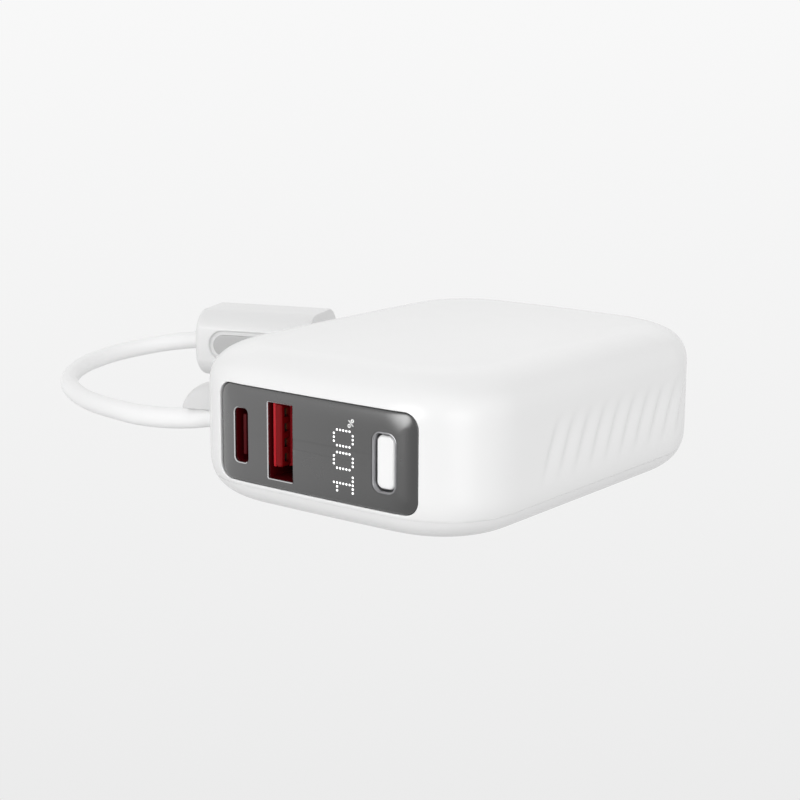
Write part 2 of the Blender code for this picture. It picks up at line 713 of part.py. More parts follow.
def make_cells():
    for level, name in enumerate(("cell_lower", "cell_upper")):
        low = CELL_LOW + level * CELL_PITCH
        cell = add_object(
            name, cuboid((-CELL_HALF, CELL_FRONT, low), (CELL_HALF, CELL_BACK, low + CELL_THICK)),
            "cell_silver",
        )
        bevel(cell, CELL_ROUND, 3)
    between = CELL_LOW + CELL_THICK + GAP
    add_object(
        "cell_foam",
        cuboid((-19 * MM, -15 * MM, between), (19 * MM, 27.5 * MM, CELL_LOW + CELL_PITCH - GAP)), "foam_grey",
    )
    add_object(
        "cell_tape", cuboid((-18 * MM, -14 * MM, WALL + GAP), (18 * MM, 26.5 * MM, CELL_LOW - GAP)),
        "foam_grey",
    )
    strip_back = CELL_FRONT - GAP
    for name, side in (("positive", 1), ("negative", -1)):
        x = side * 8 * MM
        add_object(
            f"tab_strip_{name}",
            cuboid((x - 2.5 * MM, strip_back - GAP, 6 * MM), (x + 2.5 * MM, strip_back, 21 * MM)), "nickel",
        )
        over_the_frame = ((0, -19.0, 21.6), (0, -19.3, 22.6), (0, -20.6, 23.2), (0, -22.4, 23.1),
                          (0, -23.9, 22.2), (0, -24.4, 20.9), (0, -24.1, 19.6), (0, -23.5, 18.6))
        line = [point + Vector((x, 0.0, 0.0)) for point in smooth_line(over_the_frame, 9)]
        add_tube(f"battery_lead_{name}", line, 0.6 * MM, "lead_red" if side > 0 else "lead_black")


def make_cell_rack():
    """The wall round the cells, with a boss each side for the main board's screws."""
    clear = 0.4 * MM
    front, back = CELL_FRONT - 1.4 * MM, CELL_BACK + clear
    width, length = 2 * (CELL_HALF + clear), back - front
    centre = (0.0, (front + back) / 2)
    rack = add_object("cell_rack", prism(
        rounded_rectangle(width + 2 * RACK_WALL, length + 2 * RACK_WALL, 3.8 * MM, centre),
        "Z", RACK_LOW, RACK_HIGH,
    ), "inner_black")
    rack_front = front - RACK_WALL
    for side in (-1, 1):
        join(rack, add_object(
            "boss_cutter", rod_y(BOSS_RADIUS, side * BOSS_X, BOSS_Z, rack_front, rack_front + 6.5 * MM)
        ))
    cut(rack, add_object("rack_hollow_cutter", prism(
        rounded_rectangle(width, length, 2.6 * MM, centre), "Z", RACK_LOW - MM, RACK_HIGH + MM
    )))
    for side in (-1, 1):
        cut(rack, add_object("boss_hole_cutter", rod_y(
            MM, side * BOSS_X, BOSS_Z, rack_front - MM, rack_front + 5.6 * MM, 12
        )))


# ---------------------------------------------------------------- lanyard cable

def boot_outline(clear=0.0):
    """The cable root's outline in the case wall, as Y and Z."""
    return rounded_rectangle(
        BOOT_WIDE + 2 * clear, BOOT_TALL + 2 * clear, BOOT_CORNER + clear, (CABLE_EXIT.y, BOOT_Z)
    )


def make_boot():
    """The moulded root of the cable: an oval plug in the case wall, with a hood over the cable."""
    face = CABLE_EXIT.x
    boot = add_object("cable_boot", prism(boot_outline(), "X", face, face + BOOT_DEEP), "cable_white")
    hood_z = BOOT_Z - 0.3 * MM
    outline = [(face + 0.5 * MM, hood_z + HOOD_TALL)]
    for turn in spread(math.pi / 2, 0.0, 8):
        outline.append((face - HOOD_LONG * math.cos(turn), hood_z + HOOD_TALL * math.sin(turn)))
    outline += [(face - HOOD_LONG, hood_z - 0.3 * MM), (face + 0.5 * MM, hood_z + 1.1 * MM)]
    half = HOOD_WIDE / 2
    hood = add_object("hood_cutter", prism(outline, "Y", CABLE_EXIT.y - half, CABLE_EXIT.y + half))
    join(boot, hood)


def make_cable():
    make_boot()
    add_tube("lanyard_cable", smooth_line(CABLE_ROUTE, CABLE_POINTS), CABLE_RADIUS, "cable_white")
    inside = CABLE_EXIT.x / MM + BOOT_DEEP / MM + 0.3
    inner_route = ((inside, -28.0, 11.9), (inside + 1.6, -27.9, 11.9), (inside + 3.2, -27.2, 11.9),
                   (inside + 4.2, -25.8, 11.9), (inside + 4.5, -24.3, 11.9), (inside + 4.5, -22.95, 11.9))
    add_tube("cable_inner_lead", smooth_line(inner_route, 7), 1.4 * MM, "cable_white")


def plug_row(x, shrink):
    """The housing's cross-section at a place along it, all of it pulled in by shrink."""
    half_y, half_z = PLUG_THICK / 2 - shrink, PLUG_TALL / 2 - shrink
    row = []
    for quarter in range(4):
        side_y = 1 if quarter in (0, 3) else -1
        side_z = 1 if quarter in (0, 1) else -1
        for i in range(5):
            turn = math.radians(90 * (quarter + i / 4))
            row.append((
                x,
                side_y * (half_y - PLUG_EDGE_RUN) + PLUG_EDGE_RUN * math.cos(turn),
                PLUG_TALL / 2 + side_z * (half_z - PLUG_EDGE_DROP) + PLUG_EDGE_DROP * math.sin(turn),
            ))
    return row


def make_plug():
    """The plug stands on its lower edge; its parts hang on one empty at its cable end."""
    frame = bpy.data.objects.new("plug_frame", None)
    parts.objects.link(frame)
    frame.location = PLUG_AT
    frame.rotation_euler.z = PLUG_TURN

    def piece(name, bm, look=None):
        obj = add_object(name, bm, look)
        obj.parent = frame
        return obj

    def bar(width, height, start, end):
        """A solid with round edges along the plug's middle line."""
        return prism(pill(width, height, (0.0, PLUG_TALL / 2)), "X", start, end)

    rows = [
        plug_row(PLUG_END_ROUND * (1 - math.cos(turn)), PLUG_END_ROUND * (1 - math.sin(turn)))
        for turn in spread(0.0, math.pi / 2, 4)
    ]
    rows += [plug_row(PLUG_LONG - 0.5 * MM, 0.0), plug_row(PLUG_LONG, 0.5 * MM)]
    housing = piece("plug_housing", loft(rows, cap_first=True, cap_last=True), "case_white")
    front, middle = -PLUG_THICK / 2, (PLUG_LONG / 2, PLUG_TALL / 2)
    grip_hollow = prism(pill(GRIP_LONG, GRIP_TALL, middle), "Y", front - MM, front + GRIP_DEEP)
    tip_hole = bar(TIP_WIDE + 2 * GAP, TIP_TALL + 2 * GAP, PLUG_LONG - 5 * MM, PLUG_LONG + MM)
    cut(housing, piece("grip_hollow_cutter", grip_hollow), piece("tip_hole_cutter", tip_hole))
    grip = pill(GRIP_LONG - 2 * GRIP_MARGIN, GRIP_TALL - 2 * GRIP_MARGIN, middle)
    piece("plug_grip", prism(grip, "Y", front + 0.15 * MM, front + GRIP_DEEP - 0.1 * MM), "grip_grey")

    tip_start, tip_end = PLUG_LONG - 4.7 * MM, PLUG_LONG + TIP_LONG
    shell = piece("plug_shell", bar(TIP_WIDE, TIP_TALL, tip_start, tip_end), "steel")
    shell_bore = bar(TIP_WIDE - 0.7 * MM, TIP_TALL - 0.7 * MM, tip_start + MM, tip_end + MM)
    cut(shell, piece("shell_bore_cutter", shell_bore))

    liner_start, liner_end = tip_start + 1.3 * MM, tip_end - 0.2 * MM
    liner = piece("plug_insulator", bar(TIP_WIDE - MM, TIP_TALL - MM, liner_start, liner_end), "inner_black")
    slot_start, slot_side, slot_half = liner_start + MM, 3.1 * MM, 0.45 * MM
    cut(liner, piece("slot_cutter", cuboid(
        (slot_start, -slot_side, middle[1] - slot_half), (tip_end + MM, slot_side, middle[1] + slot_half)
    )))
    low, high = middle[1] - 0.35 * MM, middle[1] - 0.15 * MM
    bar_side, bar_end = 2.8 * MM, slot_start + 1.2 * MM
    contacts = piece(
        "plug_contacts", cuboid((slot_start + 0.2 * MM, -bar_side, low), (bar_end, bar_side, high)),
        "contact_gold",
    )
    for y in spread(-2.5 * MM, 2.5 * MM, 5):
        join(contacts, piece("finger_cutter", cuboid(
            (bar_end - 0.2 * MM, y - 0.2 * MM, low), (liner_end - 0.5 * MM, y + 0.2 * MM, high)
        )))


clear_scene()
parts = new_collection("power_bank")
cutters = new_collection("cutters")
materials = {name: new_material(name) for name in LOOKS}

make_bottom_cover()
make_upper_shell()
make_panel()
make_gasket()
make_panel_frame()
make_button()
make_display()
make_usb_a()
make_usb_c()
make_boards()
make_screws()
make_cells()
make_cell_rack()
make_cable()
make_plug()
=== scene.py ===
import json
import math

import bmesh
import bpy
from mathutils import Matrix, Vector


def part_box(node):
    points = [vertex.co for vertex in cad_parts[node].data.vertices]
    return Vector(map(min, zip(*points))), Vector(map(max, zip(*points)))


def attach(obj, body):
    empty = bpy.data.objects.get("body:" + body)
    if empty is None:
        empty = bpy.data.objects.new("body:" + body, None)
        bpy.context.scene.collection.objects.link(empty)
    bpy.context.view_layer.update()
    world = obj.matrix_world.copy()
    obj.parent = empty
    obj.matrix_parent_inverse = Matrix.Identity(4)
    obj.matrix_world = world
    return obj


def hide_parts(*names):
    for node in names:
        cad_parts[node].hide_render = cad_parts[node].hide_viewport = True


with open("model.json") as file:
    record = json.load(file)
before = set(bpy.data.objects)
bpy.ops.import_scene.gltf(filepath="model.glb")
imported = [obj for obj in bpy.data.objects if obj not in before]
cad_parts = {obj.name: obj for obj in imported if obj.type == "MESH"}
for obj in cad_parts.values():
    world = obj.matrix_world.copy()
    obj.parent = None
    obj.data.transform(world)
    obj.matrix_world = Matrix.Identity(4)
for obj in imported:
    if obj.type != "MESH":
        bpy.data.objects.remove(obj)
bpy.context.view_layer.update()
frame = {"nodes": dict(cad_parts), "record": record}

MM = 0.001

SHARP = 35  # degrees past which an edge is left sharp

# Case, as in the CAD: plan corners, the rolls round its top and underside, and the seam
CORNER, CORNER_POWER, CORNER_SHRINK = 15.1 * MM, 2.38, 0.6
BOW = 800 * MM  # radius of the slight curve of the case's ends in plan
TOP_RUN, TOP_DROP, TOP_POWER, CROWN = 9.3 * MM, 7.1 * MM, 2.54, 0.95 * MM
BASE_RUN, BASE_RISE, BASE_POWER = 8.6 * MM, 8.0 * MM, 2.5
WALL = 1.6 * MM
SEAM, SEAM_GAP, RIM_ROUND = 4.0 * MM, 0.004 * MM, 0.035 * MM
HALF_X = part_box("upper_shell")[1].x
HALF_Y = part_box("upper_shell")[1].y
HEIGHT = 26.9 * MM
END_STEPS = 56  # spans across each end of the case

# Grip flutes on the long sides: a row of slanted, shallow scallops
FLUTES, FLUTE_PITCH, FLUTE_FIRST = 10, 4.75 * MM, -16.3 * MM
FLUTE_SLOPE, FLUTE_MIDDLE, FLUTE_HALF, FLUTE_DEPTH = 0.42, 12.6 * MM, 5.8 * MM, 0.34 * MM
FLUTE_STEPS = (0.0, 0.07, 0.14, 0.21, 0.28, 0.35, 0.42, 0.54, 0.69, 0.85)
LEAN_FADE = 29 * MM  # where the slant starts to fade towards the corners
FLUTE_FALL = 0.42  # share of the pitch that drops away behind a crest

# Lanyard cable: the CAD's route
CABLE_RADIUS = 1.85 * MM
CABLE_EXIT = (-0.0282, -0.0280, 0.0119)
CABLE_ROUTE = (
    (-0.0286, -0.0280, 0.0119), (-0.0316, -0.0280, 0.0115), (-0.0355, -0.0282, 0.0107),
    (-0.0420, -0.0282, 0.0098), (-0.0500, -0.0270, 0.0090), (-0.0575, -0.0244, 0.0083),
    (-0.0650, -0.0207, 0.0073), (-0.0730, -0.0161, 0.0061), (-0.0810, -0.0110, 0.0049),
    (-0.0890, -0.0056, 0.0038), (-0.0965, -0.0002, 0.0029), (-0.1030, 0.0048, 0.0022),
    (-0.1085, 0.0098, 0.00195), (-0.1128, 0.0149, 0.0020), (-0.1154, 0.0202, 0.0025),
    (-0.1162, 0.0258, 0.0031), (-0.1151, 0.0309, 0.0039), (-0.1121, 0.0358, 0.0048),
    (-0.1080, 0.0392, 0.0057), (-0.1035, 0.0416, 0.0064), (-0.0994, 0.04312, 0.0069),
)

# Cable root: an oval plate in the case's wall and a hood that hangs out over the cable
ROOT_CORNER = 1.5 * MM
HOOD_HALF, HOOD_FOOT, HOOD_POWER = 2.4 * MM, 0.3 * MM, 2.3
HOOD_BASE, HOOD_RISE = 13.0 * MM, 5.0 * MM
HOOD_UNDER, HOOD_UNDER_DROP = 13.3 * MM, 0.6 * MM
HOOD_CREASE, HOOD_CREASE_RISE = 15.0 * MM, 0.5 * MM

# Plug on the cable: where its cable end stands, and the turn of its long axis
PLUG_AT = Vector((-98.98, 43.27, 0.05)) * MM
PLUG_TURN = math.radians(19.7)
PLUG_LONG, PLUG_TALL, PLUG_THICK = 27.0 * MM, 14.6 * MM, 17.6 * MM
PLUG_EDGE_RUN, PLUG_EDGE_DROP, PLUG_END_ROUND = 4.1 * MM, 3.8 * MM, 1.4 * MM
PLUG_EDGE_TURN = math.radians(14)
PLUG_SHARP = 20  # degrees, since the housing's arcs meet its faces at a low angle
GRIP_LONG, GRIP_TALL, GRIP_INSET = 20.0 * MM, 6.5 * MM, 0.9 * MM
TIP_SLOT_LONG, TIP_SLOT_TALL = 8.6 * MM, 2.75 * MM

# Front panel, ports and button
PANEL_CORNER, PANEL_THICK = 2.4 * MM, 1.6 * MM
PANEL_EDGE_RUN, PANEL_EDGE_DROP = 4.0 * MM, 0.6 * MM
PORT_WALL = {"usb_a_shell": 0.3 * MM, "usb_c_shell": 0.25 * MM}
PORT_RIM = 0.15 * MM  # width of the shell that shows round the opening
PORT_CORNER = {"usb_a_shell": 0.2 * MM, "usb_c_shell": 0.85 * MM}
TONGUE_BOTTOM, TONGUE_TOP = 8.3 * MM, 18.75 * MM
RING_CORNER = 1.65 * MM
CAP_WIDE, CAP_TALL, CAP_CORNER, CAP_EDGE = 3.5 * MM, 8.45 * MM, 1.15 * MM, 0.42 * MM

# Battery level: dots on the panel in rows down each glyph and columns across it
DOT_TOP, DOT_ROW, DOT_COLUMN, DOT_RADIUS = 4.64 * MM, 0.622 * MM, 0.624 * MM, 0.185 * MM
GLYPH_STARTS = {"hundreds": 6.80 * MM, "tens": 10.42 * MM, "units": 14.02 * MM}
PERCENT_RINGS = ((7.67 * MM, 17.42 * MM), (8.30 * MM, 18.24 * MM))
PERCENT_BAR = ((8.50 * MM, 17.40 * MM), (7.52 * MM, 18.28 * MM))
PERCENT_RADIUS, RING_LINE_HALF, BAR_LINE_HALF = 0.235 * MM, 0.032 * MM, 0.026 * MM
SINK, PROUD = 0.03 * MM, 0.01 * MM  # how far the marks reach into the panel and stand out of it

# Materials: noise scales, in waves to a metre, for grain, gloss, shade and drawn marks
GRAIN_SCALE, GLOSS_SCALE, SHADE_SCALE, MARK_SCALE = 9000.0, 160.0, 35.0, 700.0
MARK_STRETCH = (1.0, 1.0, 40.0)
BUMP_HEIGHT = 0.02 * MM

# Camera: where it stands, how it is turned, and its lens and sensor width in millimetres
CAMERA_AT = Vector((0.1797, -0.2495, 0.0810))
CAMERA_YAW, CAMERA_PITCH, CAMERA_ROLL = math.radians(37.534), math.radians(12.323), math.radians(0.304)
CAMERA_LENS, CAMERA_SENSOR = 82.0, 36.0

# Floor: its size in metres, and its own glow, which fades as the way down to it gets steeper
FLOOR_WIDE, FLOOR_TALL, FLOOR_GAP = 60.0, 4.0, 0.02 * MM
FLOOR_AWAY = Vector((-0.609, 0.793, 0.0))  # level direction away from the camera
FLOOR_FAR, FLOOR_NEAR, FLOOR_NEAREST, FLOOR_STEEPEST = 0.939, 0.835, 0.1, 0.46

# Sky: an even base and the soft lights in it, each as a bearing clockwise from the camera's side,
# a height, a reach in degrees and a strength
SKY_BASE = 0.60
SKY_LIGHTS = (
    (0, 48, 48, 0.2),
    (20, 4, 30, 1.25),
    (52, 10, 55, 0.5),
    (180, 8, 55, 0.25),
    (180, 48, 48, 0.45),
    (270, 8, 55, 0.2),
    (310, 10, 25, 3.7),
)


# ------------------------------------------------------------------ camera

def make_camera():
    """The scene's camera."""
    camera = bpy.data.cameras.new("camera")
    camera.lens = CAMERA_LENS
    camera.sensor_width = CAMERA_SENSOR
    camera.clip_start = 0.01
    camera.clip_end = 50.0
    holder = bpy.data.objects.new("camera", camera)
    bpy.context.scene.collection.objects.link(holder)
    holder.matrix_world = (
        Matrix.Translation(CAMERA_AT)
        @ Matrix.Rotation(CAMERA_YAW, 4, "Z")
        @ Matrix.Rotation(math.pi / 2 - CAMERA_PITCH, 4, "X")
        @ Matrix.Rotation(CAMERA_ROLL, 4, "Z")
    )
    bpy.context.scene.camera = holder


# ------------------------------------------------------------------ materials

def new_material(name, color, roughness, metallic=0.0, coat=0.0):
    """A Principled material, with its node tree for adding detail."""
    made = bpy.data.materials.new(name)
    made.use_nodes = True
    shader = made.node_tree.nodes["Principled BSDF"]
    shader.inputs["Base Color"].default_value = (*color, 1.0)
    shader.inputs["Roughness"].default_value = roughness
    shader.inputs["Metallic"].default_value = metallic
    shader.inputs["Coat Weight"].default_value = coat
    return made


def position(tree):
    """Each point's place in its object's own space."""
    return tree.nodes.new("ShaderNodeTexCoord").outputs["Object"]


def noise(tree, scale, detail=3.0, stretch=(1.0, 1.0, 1.0)):
    mapping = tree.nodes.new("ShaderNodeMapping")
    mapping.inputs["Scale"].default_value = stretch
    tree.links.new(position(tree), mapping.inputs["Vector"])
    made = tree.nodes.new("ShaderNodeTexNoise")
    made.inputs["Scale"].default_value = scale
    made.inputs["Detail"].default_value = detail
    tree.links.new(mapping.outputs["Vector"], made.inputs["Vector"])
    return made.outputs["Fac"]


def map_range(tree, value, start, end, low=0.0, high=1.0, kind="LINEAR"):
    """Maps a value that runs from start to end to one that runs from low to high."""
    made = tree.nodes.new("ShaderNodeMapRange")
    made.interpolation_type = kind
    settings = {"From Min": start, "From Max": end, "To Min": low, "To Max": high}
    for name, setting in settings.items():
        made.inputs[name].default_value = setting
    tree.links.new(value, made.inputs["Value"])
    return made.outputs["Result"]


def reach_along(tree, vector, direction):
    """How far a vector reaches along a direction."""
    made = tree.nodes.new("ShaderNodeVectorMath")
    made.operation = "DOT_PRODUCT"
    made.inputs[1].default_value = direction
    tree.links.new(vector, made.inputs[0])
    return made.outputs["Value"]


def arithmetic(tree, operation, first, second):
    """The result of a sum whose two terms are each a number or another node's output."""
    made = tree.nodes.new("ShaderNodeMath")
    made.operation = operation
    for socket, term in zip(made.inputs, (first, second)):
        if isinstance(term, float):
            socket.default_value = term
        else:
            tree.links.new(term, socket)
    return made.outputs[0]


def add_bump(tree, height, strength):
    bump = tree.nodes.new("ShaderNodeBump")
    bump.inputs["Strength"].default_value = strength
    bump.inputs["Distance"].default_value = BUMP_HEIGHT
    tree.links.new(height, bump.inputs["Height"])
    tree.links.new(bump.outputs["Normal"], tree.nodes["Principled BSDF"].inputs["Normal"])


def mix_colors(tree, factor, first, second):
    made = tree.nodes.new("ShaderNodeMix")
    made.data_type = "RGBA"
    tree.links.new(factor, made.inputs["Factor"])
    made.inputs["A"].default_value = (*first, 1.0)
    made.inputs["B"].default_value = (*second, 1.0)
    return made.outputs["Result"]


def moulded(name, color, roughness, coat=0.0, grain=0.02, shade=0.96, shine=0.5):
    """Moulded plastic: fine spark-eroded grain, uneven gloss and a slight drift of shade."""
    made = new_material(name, color, roughness, coat=coat)
    tree = made.node_tree
    shader = tree.nodes["Principled BSDF"]
    shader.inputs["Specular IOR Level"].default_value = shine
    add_bump(tree, noise(tree, GRAIN_SCALE, 2.0), grain)
    gloss = map_range(tree, noise(tree, GLOSS_SCALE), 0.0, 1.0, roughness * 0.94, roughness * 1.06)
    tree.links.new(gloss, shader.inputs["Roughness"])
    darker = tuple(part * shade for part in color)
    drift = mix_colors(tree, noise(tree, SHADE_SCALE), darker, color)
    tree.links.new(drift, shader.inputs["Base Color"])
    return made


def drawn_metal(name, color, roughness):
    """Sheet metal with fine marks along one direction."""
    made = new_material(name, color, roughness, metallic=1.0)
    tree = made.node_tree
    streaks = noise(tree, MARK_SCALE, 4.0, MARK_STRETCH)
    add_bump(tree, streaks, 0.05)
    gloss = map_range(tree, streaks, 0.0, 1.0, roughness * 0.8, roughness * 1.25)
    tree.links.new(gloss, tree.nodes["Principled BSDF"].inputs["Roughness"])
    return made


def panel_paint_with_painted_shade(left, right, roughness):
    """Glossy grey paint with painted shade: its colour darkens across the panel from the left end to the
    right, in place of the brighter reflection at its left end.
    """
    made = moulded("panel_grey", left, roughness, coat=1.0, grain=0.004, shine=0.8)
    tree = made.node_tree
    shader = tree.nodes["Principled BSDF"]
    shader.inputs["Coat IOR"].default_value = 1.8
    shader.inputs["Coat Roughness"].default_value = 0.12
    # Painted shade: the base colour runs from the lighter left colour to the darker right colour across the
    # panel
    across = reach_along(tree, position(tree), (1.0, 0.0, 0.0))
    share = map_range(tree, across, -20 * MM, 20 * MM)
    tree.links.new(mix_colors(tree, share, left, right), shader.inputs["Base Color"])
    return made


def glowing(name, color, strength):
    """A plain surface with a light of its own."""
    made = new_material(name, color, 0.4)
    shader = made.node_tree.nodes["Principled BSDF"]
    shader.inputs["Emission Color"].default_value = (*color, 1.0)
    shader.inputs["Emission Strength"].default_value = strength
    return made


def make_materials():
    return {
        "case_white": moulded("case_white", (0.86, 0.86, 0.86), 0.26, coat=0.25),
        # The panel's two colours paint its shade: lighter at the left end, darker at the right
        "panel_grey": panel_paint_with_painted_shade((0.052, 0.052, 0.053), (0.006, 0.006, 0.0063), 0.27),
        "ring_silver": drawn_metal("ring_silver", (0.38, 0.38, 0.39), 0.22),
        "button_white": moulded("button_white", (0.91, 0.91, 0.91), 0.22, coat=0.3),
        "steel": drawn_metal("steel", (0.72, 0.72, 0.73), 0.25),
        "port_red": moulded("port_red", (0.21, 0.003, 0.005), 0.34, grain=0.03, shade=0.8, shine=0.12),
        # A darker copy of port_red: painted shade for the port linings and the USB-C tongue
        "port_red_painted_shade": moulded("port_red_painted_shade", (0.085, 0.002, 0.004), 0.4, grain=0.03, shade=0.7, shine=0.1),
        # A lighter copy of port_red: painted light on the USB-A tongue's rib and back wedge
        "port_red_painted_light": moulded("port_red_painted_light", (0.45, 0.006, 0.014), 0.34, grain=0.03, shade=0.9, shine=0.2),
        "contact_gold": drawn_metal("contact_gold", (0.85, 0.62, 0.28), 0.25),
        "inner_black": moulded("inner_black", (0.02, 0.02, 0.02), 0.5),
        "board_green": moulded("board_green", (0.02, 0.16, 0.09), 0.4, coat=0.3),
        "foam_grey": moulded("foam_grey", (0.10, 0.10, 0.11), 0.95, grain=0.5, shade=0.7),
        "cell_silver": drawn_metal("cell_silver", (0.62, 0.63, 0.65), 0.38),
        "nickel": drawn_metal("nickel", (0.66, 0.64, 0.60), 0.3),
        "lead_red": moulded("lead_red", (0.55, 0.03, 0.03), 0.45),
        "lead_black": moulded("lead_black", (0.03, 0.03, 0.03), 0.45),
        "cable_white": moulded("cable_white", (0.91, 0.91, 0.91), 0.48, grain=0.01, shine=0.25),
        # A darker copy of case_white: painted shade on the plug housing
        "plug_white_painted_shade": moulded("plug_white_painted_shade", (0.77, 0.77, 0.77), 0.30, coat=0.15),
        # A darker copy of cable_white: painted shade on the cable root's hood
        "hood_white_painted_shade": moulded("hood_white_painted_shade", (0.70, 0.70, 0.70), 0.36, coat=0.1),
        "grip_grey": moulded("grip_grey", (0.47, 0.47, 0.47), 0.45),
        "digit_white": glowing("digit_white", (1.0, 1.0, 1.0), 1.0),
    }


# ------------------------------------------------------------------ mesh helpers

def object_from(name, bm, sharp=SHARP):
    """A mesh as an object in the scene, smooth but for its sharp edges."""
    bmesh.ops.recalc_face_normals(bm, faces=bm.faces)
    mesh = bpy.data.meshes.new(name)
    bm.to_mesh(mesh)
    bm.free()
    mesh.shade_smooth()
    mesh.set_sharp_from_angle(angle=math.radians(sharp))
    obj = bpy.data.objects.new(name, mesh)
    bpy.context.scene.collection.objects.link(obj)
    return obj


def place(name, bm, look, body="case", slot=None, replaces=(), sharp=SHARP):
    """A mesh as a piece of the model, with its material, body and the nodes it stands for; slot is not used.
    """
    obj = object_from(name, bm, sharp)
    obj.data.materials.append(materials[look])
    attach(obj, body)
    if replaces:
        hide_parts(*replaces)
    return obj


def stitch(bm, ring, following):
    """Faces between two rings of as many points."""
    for i, vert in enumerate(ring):
        after = (i + 1) % len(ring)
        bm.faces.new((vert, ring[after], following[after], following[i]))


def loft(rows, closed=False):
    """A skin through rows of points, with its ends capped; closed joins them to each other instead."""
    bm = bmesh.new()
    rings = [[bm.verts.new(point) for point in row] for row in rows]
    pairs = list(zip(rings, rings[1:]))
    if closed:
        pairs.append((rings[-1], rings[0]))
    for ring, following in pairs:
        stitch(bm, ring, following)
    if not closed:
        cap_ends(bm, rings)
    return bm


def cap_ends(bm, rings):
    """Closes the first and the last ring with a face each."""
    bm.faces.new(list(reversed(rings[0])))
    bm.faces.new(rings[-1])


def cut(obj, *cutters, sharp=SHARP):
    """Booleans the cutters away for good, and evens the shading of what is left."""
    for cutter in cutters:
        made = obj.modifiers.new("cut", "BOOLEAN")
        made.operation = "DIFFERENCE"
        made.solver = "EXACT"
        made.object = cutter
    graph = bpy.context.evaluated_depsgraph_get()
    mesh = bpy.data.meshes.new_from_object(obj.evaluated_get(graph))
    obj.modifiers.clear()
    old, obj.data = obj.data, mesh
    bpy.data.meshes.remove(old)
    for cutter in cutters:
        bpy.data.objects.remove(cutter)
    mesh.shade_smooth()
    mesh.set_sharp_from_angle(angle=math.radians(sharp))
    even_shading(obj)


def even_shading(obj):
    """Shades flat faces flat, whatever rounds they border."""
    made = obj.modifiers.new("even_shading", "WEIGHTED_NORMAL")
    made.keep_sharp = True


def cutter_from(bm):
    """A mesh that will be cut away from a piece."""
    return object_from("cutter", bm)


def spread(first, last, steps):
    """Even steps from first to last, with both."""
    return [first + (last - first) * i / steps for i in range(steps + 1)]


def outline(width, height, radius, centre=(0.0, 0.0), corner_steps=8, side_steps=(1, 1)):
    """Rounded rectangle, anticlockwise; side_steps splits its level and its upright sides."""
    corners = []
    for quarter in range(4):
        side_x = 1 if quarter in (0, 3) else -1
        side_y = 1 if quarter in (0, 1) else -1
        arc = []
        for i in range(corner_steps + 1):
            turn = math.radians(90 * (quarter + i / corner_steps))
            arc.append((
                centre[0] + side_x * (width / 2 - radius) + radius * math.cos(turn),
                centre[1] + side_y * (height / 2 - radius) + radius * math.sin(turn),
            ))
        corners.append(arc)
    points = []
    for quarter, arc in enumerate(corners):
        points += arc
        start, end = arc[-1], corners[(quarter + 1) % 4][0]
        count = side_steps[quarter % 2]
        for i in range(1, count):
            share = i / count
            points.append((
                start[0] + (end[0] - start[0]) * share, start[1] + (end[1] - start[1]) * share
            ))
    return points


def pill(width, height, centre, corner_steps=12):
    """Outline with round ends."""
    return outline(width, height, min(width, height) * 0.4999, centre, corner_steps)


# ------------------------------------------------------------------ the case's form

def side_drop(along, half, inset):
    """How far the plan outline has turned in from a side, at a place along it."""
    corner = CORNER - CORNER_SHRINK * inset
    over = min(max(abs(along) - (half - inset - corner), 0.0) / corner, 1.0)
    return corner * (1 - (1 - over ** CORNER_POWER) ** (1 / CORNER_POWER))


def reach(half, inset):
    """Where a side meets its neighbour, at the middle of the corner's turn."""
    corner = CORNER - CORNER_SHRINK * inset
    return half - inset - corner + corner * 0.5 ** (1 / CORNER_POWER)


def bowed(x, y):
    """A place's depth once the case's ends are bowed."""
    return y * (1 - x * x / (2 * BOW) / HALF_Y)


def front_y(x):
    """The case's front surface at half height."""
    return bowed(x, side_drop(x, HALF_X, 0.0) - HALF_Y)


def crown_rise(x, y):
    """The slight dome of the case's top."""
    return CROWN * (1 - (x / HALF_X) ** 2) * (1 - (y / HALF_Y) ** 2)


def squarish(turn, power):
    """A turn's place on a squarish quarter round."""
    return abs(math.cos(turn)) ** (2 / power), abs(math.sin(turn)) ** (2 / power)


def base_row(turn):
    """The inset and the height at a turn of the lower roll."""
    across, up = squarish(turn, BASE_POWER)
    return BASE_RUN * (1 - across), BASE_RISE * (1 - up)


def top_row(turn):
    """The inset and the height at a turn of the upper roll."""
    across, up = squarish(turn, TOP_POWER)
    return TOP_RUN * (1 - across), HEIGHT - CROWN - TOP_DROP * (1 - up)


def base_turn(height):
    """The turn of the lower roll at a height."""
    return math.asin((1 - height / BASE_RISE) ** (BASE_POWER / 2))


def front_at(x, z):
    """The case's front surface at a height where it may already roll."""
    inset = 0.0
    if z < BASE_RISE:
        inset = base_row(base_turn(z))[0]
    elif z > HEIGHT - CROWN - TOP_DROP:
        up = (z - (HEIGHT - CROWN - TOP_DROP)) / TOP_DROP
        inset = TOP_RUN * (1 - (1 - up ** TOP_POWER) ** (1 / TOP_POWER))
    return bowed(x, side_drop(x, HALF_X, inset) - (HALF_Y - inset))


def flute_columns():
    """Places along a long side, each with its share of the way through a flute, or None."""
    columns = []
    for number in range(FLUTES):
        for step in FLUTE_STEPS:
            columns.append((FLUTE_FIRST + (number + step) * FLUTE_PITCH, step))
    first, last = columns[0][0], FLUTE_FIRST + FLUTES * FLUTE_PITCH
    edge = reach(HALF_Y, 0.0)
    before = [(y, None) for y in spread(-edge, first, 16)[:-1]]
    after = [(y, None) for y in spread(last, edge, 10)]
    return before + columns + after


def eased(share):
    """A share that starts and ends gently."""
    return share * share * (3 - 2 * share)


